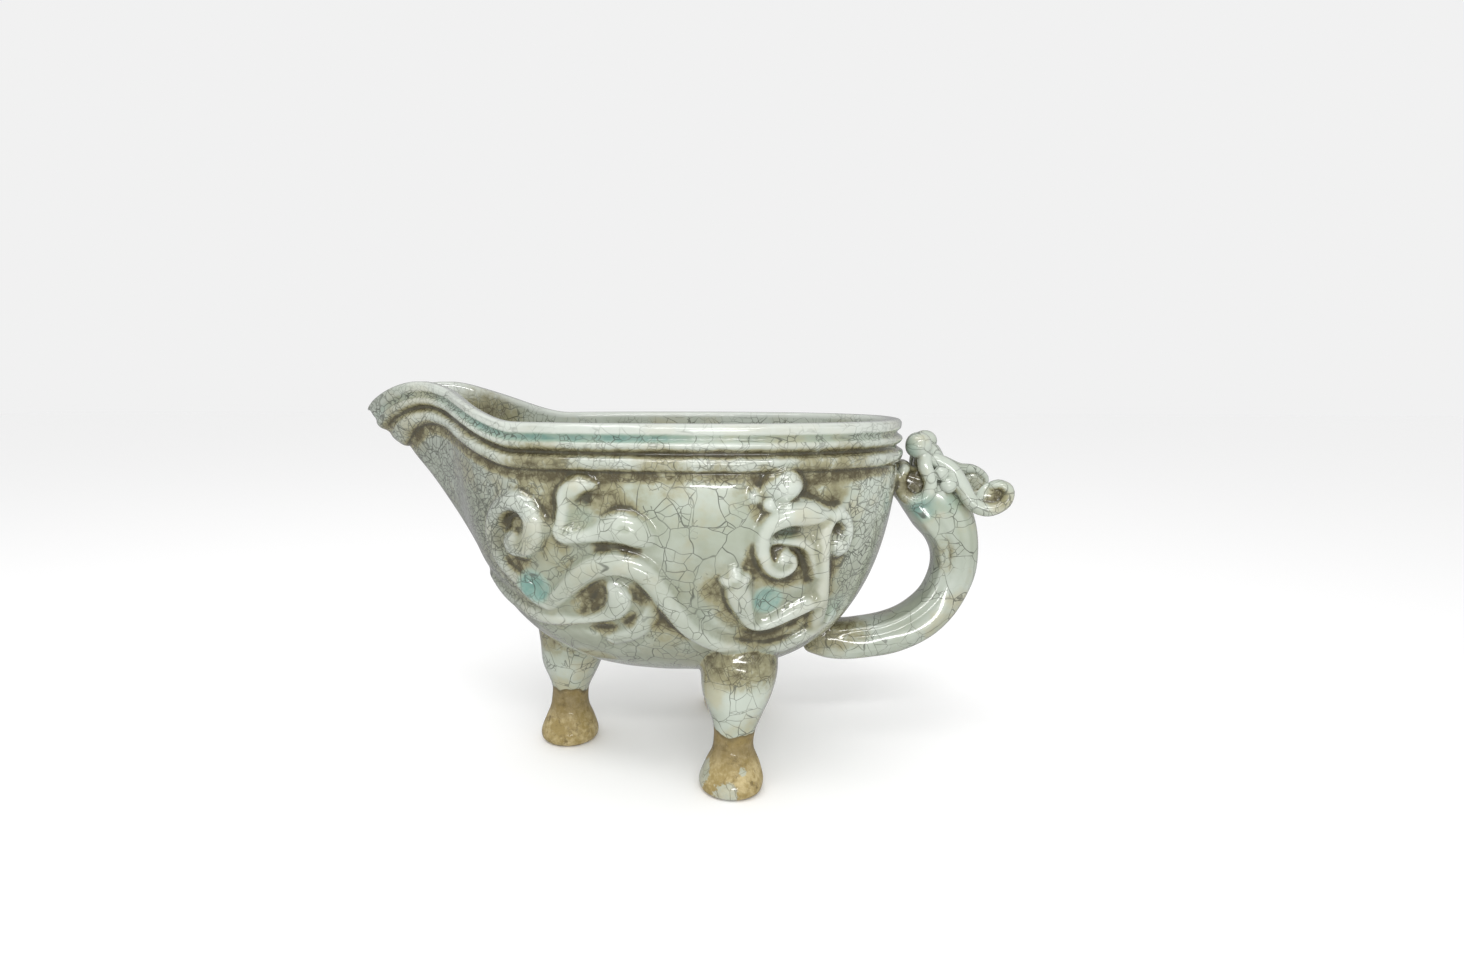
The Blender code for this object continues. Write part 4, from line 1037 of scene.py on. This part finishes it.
def finish_piece(mesh, shape):
    """Soften the joins, keep the piece in the solid's box, and store what the glaze reads.

    cavity and crest compare each point with its neighbourhood's mean along the normal, at about
    1.5 mm: cavity draws the dark corner line, stain held in the corners and painted shade, and
    crest the whiter glaze on the edges with a painted highlight along the lip and the rim's ridges.
    Stain is spots strengthened by the hollows around them, at about 4 mm, and pool is spots and
    the upper groove. fine and grime grow where the crackle is dense and rubbed; grime also holds
    painted shade on the loop's inner face, low on the handle and low on the belly, and low is
    painted shade, darker towards the bottom of the wall.
    """
    points = read(mesh.vertices, "co", np.float32, 3).astype(float)
    edges = read(mesh.edges, "vertices", np.int32, 2)
    weights = zone_weights(mesh)
    added = weights[:, ADDED]
    seam = ((added > 0.01) & (added < 0.99)).astype(float)[:, None]
    near_seam = clipped(smoothed(seam, edges, passes=7) * 3.0)
    for _ in range(shape.join_passes):
        points = points + near_seam * 0.5 * (averaged(points, edges) - points)
    low, high = (np.array(corner) for corner in CAD_BOX)
    points = np.clip(points, low, high)
    mesh.vertices.foreach_set("co", points.astype(np.float32).ravel())
    mesh.update()
    normals = read(mesh.vertices, "normal", np.float32, 3)
    near = ((smoothed(points, edges, passes=4) - points) * normals).sum(axis=1)
    wide = ((smoothed(points, edges, passes=26) - points) * normals).sum(axis=1)
    weights = smoothed(weights, edges, passes=2)
    rim_and_lip = weights[:, [RIM_ZONE, LIP_ZONE]].sum(axis=1)
    under = weights[:, [WALL_ZONE, UNDER_RIM]].sum(axis=1)
    inside = weights[:, INSIDE]
    outside = 1.0 - inside
    x, z = points[:, 0], points[:, 2]
    hollow = clipped(wide / FULL_HOLLOW)
    leg = added * ramp(z, *LEG_TOP) * ramp(-x, *OFF_HANDLE)
    plainer = 1.0 - 0.4 * ramp(points[:, 1], *FAR_SIDE) * outside
    stain = spots(points, WALL_STAINS, True) * outside + spots(points, OTHER_STAINS, False)
    stain = plainer * stain * (0.55 + 0.45 * hollow) + 0.12 * hollow * outside + 0.75 * leg
    patchy = 0.5 + 0.4 * clipped(ramp(-x, *STAINED_FRONT) + ramp(x, *STAINED_BACK))
    stain = stain + patchy * weights[:, UNDER_RIM] + 0.68 * weights[:, LOWER_GROOVE]
    stain = stain + 0.1 * weights[:, RIM_ZONE]
    raised = clipped(-wide / FULL_RAISED)
    stain = stain * (1.0 - 0.75 * raised * under)
    pool = spots(points, WALL_POOLS, True) * outside * plainer
    pool = pool + spots(points, OTHER_POOLS, False)
    strong = 0.35 + 0.65 * ramp(-x, *POOLED_FRONT) * ramp(x, *POOLED_SPOUT)
    pool = pool + strong * weights[:, UPPER_GROOVE]
    spout = ramp(-x, *SPOUT_CRACKLE)
    back = ramp(x, *BACK_CRACKLE) * outside * (1.0 - added)
    bowl = ramp(z, *BOWL_CRACKLE)
    rim = weights[:, [RIM_ZONE, LOWER_GROOVE, UNDER_RIM]].sum(axis=1)
    smooth = 0.4 * inside + 0.5 * rim_and_lip
    fine = np.maximum.reduce([spout, 0.6 * back, 0.7 * rim, 0.4 * inside]) * bowl * (1.0 - smooth)
    loop = unit(np.array(LOOP_MIDDLE) * MM - points)
    # Painted shade on the handle's lower loop and on its inner face towards the loop's middle
    shaded = 0.25 * added * ramp(x, *LOOP) * ramp(-z, *LOOP_SHADE)
    inner_face_shade = ramp((loop * normals).sum(axis=1) * MM, *LOOP_FACING) * ramp(x, *LOOP)
    tip = ramp(-x, *WORN_TIP) * outside
    # Grey grime on the spout, its worn tip and the rim, plus painted shade on the loop and low on
    # the belly
    grime = np.maximum.reduce([spout * outside * (0.35 + 0.65 * under), 0.6 * inner_face_shade, 0.9 * tip,
                               0.45 * (1.0 - bowl) * under, shaded, 0.3 * rim_and_lip])
    # Whiter glaze where it ran thin off convex edges; the lip and rim zones add a painted highlight
    crest = clipped(-near / FULL_CREST) * (1.0 - 0.7 * added)
    crest = 0.55 * crest + 0.05 * weights[:, RIM_ZONE]
    crest = (crest + 0.7 * weights[:, LIP_ZONE]) * (1.0 - 0.8 * tip)
    # Painted shade: darker towards the bottom of the outer wall
    low = ramp(-z, *LOW_WALL_SHADE) * outside * (1.0 - added)
    values = {
        "cavity": near / FULL_CORNER, "crest": crest, "stain": stain, "pool": pool,
        "fine": fine, "grime": grime, "low": low, "drip": spots(points, DRIPS, False),
    }
    for name, value in values.items():
        layer = mesh.attributes.new(name, "FLOAT", "POINT")
        layer.data.foreach_set("value", clipped(value).astype(np.float32))


def ramp(values, low, high):
    """Smoothstep of the values, in metres, from 0 at low mm to 1 at high mm."""
    part = clipped((values / MM - low) / (high - low))
    return part * part * (3.0 - 2.0 * part)


def add(tree, kind, inputs=None, **settings):
    """New node of a kind, with its settings, and its inputs as plain values or sockets to link."""
    made = tree.nodes.new(kind)
    for key, value in settings.items():
        setattr(made, key, value)
    for key, value in (inputs or {}).items():
        if isinstance(value, bpy.types.NodeSocket):
            tree.links.new(value, made.inputs[key])
        else:
            made.inputs[key].default_value = value
    return made


def crackle(tree, where, cell, width, scatter, offset=None):
    """Cracks along the edges of cells of a size: 1 in the line, 0 in the cell, and the cell's
    own random colour. The coordinates may be shifted by another crackle's cell colour, so that
    these cracks stop at that crackle's lines, as a later crack does at an older one."""
    if offset is not None:
        where = add(tree, "ShaderNodeVectorMath", {0: offset, 1: (0.31, 0.31, 0.31), 2: where},
                    operation="MULTIPLY_ADD").outputs[0]
    sockets = {"Vector": where, "Scale": 1.0 / cell, "Randomness": scatter}
    edge = add(tree, "ShaderNodeTexVoronoi", sockets, feature="DISTANCE_TO_EDGE")
    tone = add(tree, "ShaderNodeTexVoronoi", sockets, feature="F1")
    half = 0.5 * width / cell
    line = add(tree, "ShaderNodeMapRange",
               {"Value": edge.outputs["Distance"], "From Min": half * 0.35, "From Max": half * 1.5,
                "To Min": 1.0, "To Max": 0.0}, interpolation_type="SMOOTHSTEP")
    return line.outputs[0], tone.outputs["Color"]


def glaze_material(glaze):
    """Celadon glaze on stoneware, dipped, fired glossy and crazed, over bare ochre feet.

    The eye gets a soft pale body colour under a hard clear gloss, ink and rust held in the cracks,
    whiter edges where the glaze ran off with a painted highlight along the lip, blue-green pools
    where it stands thick, and brown stain in the corners with a dark corner line that is stain and
    painted shade. Painted shade also darkens the lower wall, the loop's inner face, the low handle
    and the low belly. The feet below the glaze line are dry mottled clay. The cracks are drawn a
    little wider than the real ones, so that they show from the photograph's distance.
    """
    material = bpy.data.materials.new("celadon_glazed_stoneware")
    material.use_nodes = True
    tree = material.node_tree
    shader = tree.nodes["Principled BSDF"]
    where = add(tree, "ShaderNodeTexCoord").outputs["Object"]

    def math(operation, a, b=0.0, c=0.0, clamp=False):
        return add(tree, "ShaderNodeMath", {0: a, 1: b, 2: c}, operation=operation,
                   use_clamp=clamp).outputs[0]

    def times(a, b, clamp=False):
        return math("MULTIPLY", a, b, clamp=clamp)

    def scaled(a, factor, plus, clamp=False):
        return math("MULTIPLY_ADD", a, factor, plus, clamp)

    def stored(name):
        return add(tree, "ShaderNodeAttribute", attribute_name=name).outputs["Fac"]

    def noise(size, detail=3.0, rough=0.55, shift=0.0):
        moved = add(tree, "ShaderNodeVectorMath", {0: where, 1: (shift,) * 3}).outputs[0]
        return add(tree, "ShaderNodeTexNoise", {"Vector": moved, "Scale": 1.0 / size,
                                                "Detail": detail, "Roughness": rough}).outputs

    def stepped(value, low, high, top=1.0):
        return add(tree, "ShaderNodeMapRange",
                   {"Value": value, "From Min": low, "From Max": high, "To Min": 0.0,
                    "To Max": top}, interpolation_type="SMOOTHSTEP").outputs[0]

    def mixed(factor, a, b):
        a = a if isinstance(a, bpy.types.NodeSocket) else (*a, 1.0)
        b = b if isinstance(b, bpy.types.NodeSocket) else (*b, 1.0)
        return add(tree, "ShaderNodeMix", {0: factor, 6: a, 7: b}, data_type="RGBA").outputs[2]

    # Crackle: large cells, split into smaller ones where the glaze is strained
    drift = add(tree, "ShaderNodeVectorMath", {0: noise(13.0 * MM, 2.0)["Color"],
                                               1: (6.0 * MM,) * 3, 2: where},
                operation="MULTIPLY_ADD").outputs[0]
    turned = add(tree, "ShaderNodeMapping", {"Vector": drift, "Rotation": (0.5, 0.2, 0.9)})
    turned = turned.outputs[0]
    wide, wide_tone = crackle(tree, turned, glaze.wide_cell, glaze.crack_width, 0.9)
    middle, middle_tone = crackle(tree, turned, glaze.middle_cell, glaze.crack_width, 0.7,
                                  wide_tone)
    small, _ = crackle(tree, turned, glaze.fine_cell, glaze.crack_width, 0.8, middle_tone)
    pick = add(tree, "ShaderNodeSeparateColor", {0: wide_tone}).outputs
    pick_small = add(tree, "ShaderNodeSeparateColor", {0: middle_tone}).outputs
    fine, stain_spot, crest = stored("fine"), stored("stain"), stored("crest")
    strained = math("MAXIMUM", fine, times(stain_spot, 0.5))
    middle_on = stepped(math("ADD", pick[0], strained), 0.34, 0.38)
    small_on = stepped(math("ADD", times(pick_small[1], 0.7), strained), 0.62, 0.68)
    lines = math("MAXIMUM", times(middle, times(middle_on, 0.85)),
                 times(small, times(small_on, 0.85)))
    lines = math("MAXIMUM", wide, lines)
    inked = stepped(noise(6.0 * MM, 3.0, 0.5, 0.2)["Fac"], 0.35, 0.65)
    inked = scaled(inked, 0.55, scaled(fine, 0.4, 0.6))
    cracks = times(lines, math("SUBTRACT", inked, times(crest, 0.8)), clamp=True)

    # Body colour: mottled, then each layer over the last, from the warm cast to the inked cracks,
    # with painted shade and a painted highlight among the layers
    cloud = noise(20.0 * MM, 4.0)["Fac"]
    warm = noise(14.0 * MM, 4.0, 0.6, 0.4)["Fac"]
    smudge = noise(5.0 * MM, 5.0, 0.65, 0.7)["Fac"]
    grain = noise(1.6 * MM, 4.0, 0.6, 0.9)["Fac"]
    colour = mixed(stepped(cloud, 0.38, 0.66), glaze.ground, glaze.mottle)
    # Painted shade low on the wall, kept off the crests
    low_shade = times(stored("low"), math("SUBTRACT", 1.0, crest))
    # Grey grime and painted shade, broken up by the smudge noise
    dirt_and_shade = times(stored("grime"), scaled(smudge, 1.3, 0.1), clamp=True)
    amount = times(stain_spot, scaled(smudge, 2.2, scaled(grain, 1.3, -0.85)))
    held = scaled(stain_spot, 0.9, 0.25, clamp=True)
    # Corner line from concavity: stain held in the corners, and painted shade
    corner = times(stored("cavity"), times(smudge, times(held, 1.7)))
    pooled = times(stored("pool"), scaled(smudge, 0.9, 0.5))
    rust = mixed(stepped(amount, 0.2, 0.8), glaze.crack, glaze.dark_stain)
    layers = (
        (stepped(warm, 0.48, 0.66, 0.6), glaze.warm),
        (times(low_shade, scaled(smudge, 0.9, 0.25)), glaze.low),
        # Whiter edges, with the painted highlight along the lip and rim
        (times(crest, 0.75), glaze.crest),
        (times(dirt_and_shade, 0.62), glaze.grime),
        (stepped(amount, 0.02, 0.5, 0.9), glaze.light_stain),
        (stepped(amount, 0.4, 1.1, 0.9), glaze.dark_stain),
        (stepped(corner, 0.22, 0.7, 0.8), glaze.corner),
        (stepped(pooled, 0.1, 0.7, 0.65), glaze.thin_pool),
        (stepped(pooled, 0.5, 1.5, 0.95), glaze.pool),
        (stepped(pooled, 0.78, 1.15, 0.6), glaze.deep_pool),
        (times(cracks, 0.8), rust),
    )
    for factor, tint in layers:
        colour = mixed(factor, colour, tint)

    # Feet: bare clay below an uneven glaze line, darker just under it
    height = add(tree, "ShaderNodeSeparateXYZ", {0: where}).outputs[2]
    uneven = times(math("SUBTRACT", noise(11.0 * MM, 2.0)["Fac"], 0.5), 9.0 * MM)
    below = math("SUBTRACT", math("ADD", uneven, glaze.glaze_edge), height)
    bare = stepped(below, -0.15 * MM, 0.25 * MM)
    ragged = scaled(smudge, 3.4, scaled(grain, 1.8, -1.6))
    run = stepped(times(stored("drip"), ragged), 0.38, 0.6, 0.75)
    bare = math("SUBTRACT", bare, run, clamp=True)
    patch = scaled(smudge, 0.75, times(grain, 0.5))
    biscuit = mixed(stepped(patch, 0.52, 0.8), glaze.clay, glaze.pale_clay)
    burnt = stepped(noise(3.4 * MM, 6.0, 0.7, 1.3)["Fac"], 0.5, 0.68, 0.75)
    biscuit = mixed(burnt, biscuit, glaze.burnt_clay)
    waist = times(stepped(height, 7.0 * MM, 15.0 * MM), times(smudge, 1.1))
    biscuit = mixed(waist, biscuit, glaze.burnt_clay)
    edge_line = math("SUBTRACT", 1.0, stepped(below, 0.0, 1.4 * MM), clamp=True)
    biscuit = mixed(times(edge_line, 0.6), biscuit, glaze.dark_stain)
    colour = mixed(bare, colour, biscuit)

    # Relief of the surface: cracks sink a little, the glaze ripples, the clay is gritty
    ripple = times(noise(3.2 * MM, 2.0)["Fac"], 0.6)
    grit = times(noise(0.8 * MM, 4.0)["Fac"], times(bare, 1.6))
    level = math("SUBTRACT", math("ADD", ripple, grit), times(cracks, 0.4))
    bump = add(tree, "ShaderNodeBump", {"Height": level, "Distance": 0.12 * MM, "Strength": 0.9})
    tree.links.new(colour, shader.inputs["Base Color"])
    tree.links.new(scaled(bare, 0.3, 0.2), shader.inputs["Roughness"])
    tree.links.new(scaled(bare, -0.75, 1.0), shader.inputs["Coat Weight"])
    tree.links.new(bump.outputs[0], shader.inputs["Normal"])
    shader.inputs["Coat Roughness"].default_value = 0.03
    shader.inputs["Coat IOR"].default_value = 1.55
    shader.inputs["IOR"].default_value = 1.5
    return material


class YI_OT_bowl(Operator):
    """Build the hollow bowl with its relief dragons and rim mouldings"""

    bl_idname = "yi.bowl"
    bl_label = "Bowl"

    def execute(self, context):
        bowl_surface(context.scene.yi_shape)
        return {"FINISHED"}


class YI_OT_legs(Operator):
    """Build the three turned legs with their cup feet"""

    bl_idname = "yi.legs"
    bl_label = "Legs"

    def execute(self, context):
        for seed, (name, sole, thigh, raised) in enumerate(FEET):
            leg_surface(name, sole, thigh, raised, LEG_SEED + seed, context.scene.yi_shape)
        return {"FINISHED"}


class YI_OT_handle(Operator):
    """Build the loop handle"""

    bl_idname = "yi.handle"
    bl_label = "Handle"

    def execute(self, context):
        handle_surface(context.scene.yi_shape)
        return {"FINISHED"}


class YI_OT_head(Operator):
    """Build the dragon's head on the handle: bosses, jaws and the two mane locks"""

    bl_idname = "yi.head"
    bl_label = "Head"

    def execute(self, context):
        shape = context.scene.yi_shape
        for seed, (centre, radii) in enumerate(HEAD_BOSSES):
            boss_surface(f"head_boss_{seed}", centre, radii, BOSS_SEED + seed)
        for seed, (name, rows, side) in enumerate(CORDS):
            cord_surface(name, rows, side, CORD_SEED + seed, shape)
        return {"FINISHED"}


class YI_OT_join(Operator):
    """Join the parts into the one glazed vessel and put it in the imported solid's place"""

    bl_idname = "yi.join"
    bl_label = "Join and glaze"

    def execute(self, context):
        mesh = join_parts()
        finish_piece(mesh, context.scene.yi_shape)
        mesh.name = PIECE
        mesh.materials.clear()
        mesh.materials.append(glaze_material(context.scene.yi_glaze))
        mesh.polygons.foreach_set("material_index", np.zeros(len(mesh.polygons), np.int32))
        mesh.shade_smooth()
        piece = bpy.data.objects.new(PIECE, mesh)
        context.scene.collection.objects.link(piece)
        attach(piece, "root")
        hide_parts(NODE)
        return {"FINISHED"}


def floor_material():
    """Matt white paper sweep: an even pale ground with no gloss."""
    material = bpy.data.materials.new("matt_white_paper")
    material.use_nodes = True
    shader = material.node_tree.nodes["Principled BSDF"]
    shader.inputs["Base Color"].default_value = (*linear("FFFFFF"), 1.0)
    shader.inputs["Roughness"].default_value = 0.9
    shader.inputs["Specular IOR Level"].default_value = 0.1
    return material


def aimed(place, target):
    """Matrix of a light at a place that shines at a target."""
    place, target = Vector(place), Vector(target)
    turn = (target - place).to_track_quat("-Z", "Y").to_matrix().to_4x4()
    return Matrix.Translation(place) @ turn


def area_light(context, name, place, target, size, power):
    """Soft rectangular light of a size, at a place, aimed at a target."""
    light = bpy.data.lights.new(name, "AREA")
    light.shape = "RECTANGLE"
    light.size, light.size_y = size
    light.energy = power
    obj = bpy.data.objects.new(name, light)
    obj.matrix_world = aimed(place, target)
    context.scene.collection.objects.link(obj)


class YI_OT_stage(Operator):
    """Lay the pale floor and set the studio lights and the camera"""

    bl_idname = "yi.stage"
    bl_label = "Stage"

    def execute(self, context):
        stage = context.scene.yi_stage
        mesh = bpy.data.meshes.new("paper_floor")
        corners = [(x * FLOOR_HALF, y * FLOOR_HALF, 0.0)
                   for x, y in ((-1, -1), (1, -1), (1, 1), (-1, 1))]
        mesh.from_pydata(corners, [], [(0, 1, 2, 3)])
        mesh.materials.append(floor_material())
        floor = bpy.data.objects.new("paper_floor", mesh)
        context.scene.collection.objects.link(floor)
        floor.visible_glossy = False

        world = bpy.data.worlds.new("white_room")
        world.use_nodes = True
        tree = world.node_tree
        white = {"Color": (1.0, 1.0, 1.0, 1.0)}
        room = add(tree, "ShaderNodeBackground", {**white, "Strength": stage.surround})
        behind = add(tree, "ShaderNodeBackground", {**white, "Strength": WALL_BEHIND})
        mirrored_room = add(tree, "ShaderNodeBackground", {**white, "Strength": stage.mirrored})
        rays = add(tree, "ShaderNodeLightPath").outputs
        lit = add(tree, "ShaderNodeMixShader",
                  {0: rays["Is Glossy Ray"], 1: room.outputs[0], 2: mirrored_room.outputs[0]})
        both = add(tree, "ShaderNodeMixShader",
                   {0: rays["Is Camera Ray"], 1: lit.outputs[0], 2: behind.outputs[0]})
        tree.links.new(both.outputs[0], tree.nodes["World Output"].inputs["Surface"])
        context.scene.world = world
        for name, power, place, size in LIGHTS:
            area_light(context, name, place, LIGHTS_AIM, size, getattr(stage, power))

        # The photograph's view, with the focal length and the shifts in shares of its width
        camera = bpy.data.cameras.new("photo_view")
        camera.sensor_width = SENSOR_MM
        camera.lens = FOCAL_LENGTH / PHOTO_WIDTH * camera.sensor_width
        camera.shift_x = (0.5 * PHOTO_WIDTH - STRAIGHT_AHEAD[0]) / PHOTO_WIDTH
        camera.shift_y = (STRAIGHT_AHEAD[1] - 0.5 * PHOTO_HEIGHT) / PHOTO_WIDTH
        camera.clip_start = 1.0 * MM
        a, e = stage.azimuth, stage.elevation
        back = Vector((np.sin(a) * np.cos(e), -np.cos(a) * np.cos(e), np.sin(e)))
        target = Vector((0.0, 0.0, stage.look_height))
        view = bpy.data.objects.new("photo_view", camera)
        view.matrix_world = aimed(target + back * stage.distance, target)
        context.scene.collection.objects.link(view)
        context.scene.camera = view
        context.scene.view_settings.view_transform = "Standard"
        return {"FINISHED"}


class YI_PT_panel(Panel):
    """Lists the steps that build the vessel and its stage"""

    bl_idname = "YI_PT_panel"
    bl_label = "Yi vessel"
    bl_space_type = "VIEW_3D"
    bl_region_type = "UI"
    bl_category = "Yi vessel"

    def draw(self, context):
        for step in STEPS:
            self.layout.operator(step.bl_idname)
        for group in (context.scene.yi_shape, context.scene.yi_glaze, context.scene.yi_stage):
            box = self.layout.box()
            for key in group.__annotations__:
                box.prop(group, key)


STEPS = (YI_OT_bowl, YI_OT_legs, YI_OT_handle, YI_OT_head, YI_OT_join, YI_OT_stage)
GROUPS = {"yi_shape": YiShape, "yi_glaze": YiGlaze, "yi_stage": YiStage}


def register():
    for kind in (*GROUPS.values(), *STEPS, YI_PT_panel):
        bpy.utils.register_class(kind)
    for name, kind in GROUPS.items():
        setattr(bpy.types.Scene, name, PointerProperty(type=kind))


def unregister():
    for name in GROUPS:
        delattr(bpy.types.Scene, name)
    for kind in (YI_PT_panel, *reversed(STEPS), *reversed(GROUPS.values())):
        bpy.utils.unregister_class(kind)


def main():
    register()
    bpy.ops.yi.bowl()
    bpy.ops.yi.legs()
    bpy.ops.yi.handle()
    bpy.ops.yi.head()
    bpy.ops.yi.join()
    bpy.ops.yi.stage()


if __name__ == "__main__":
    main()
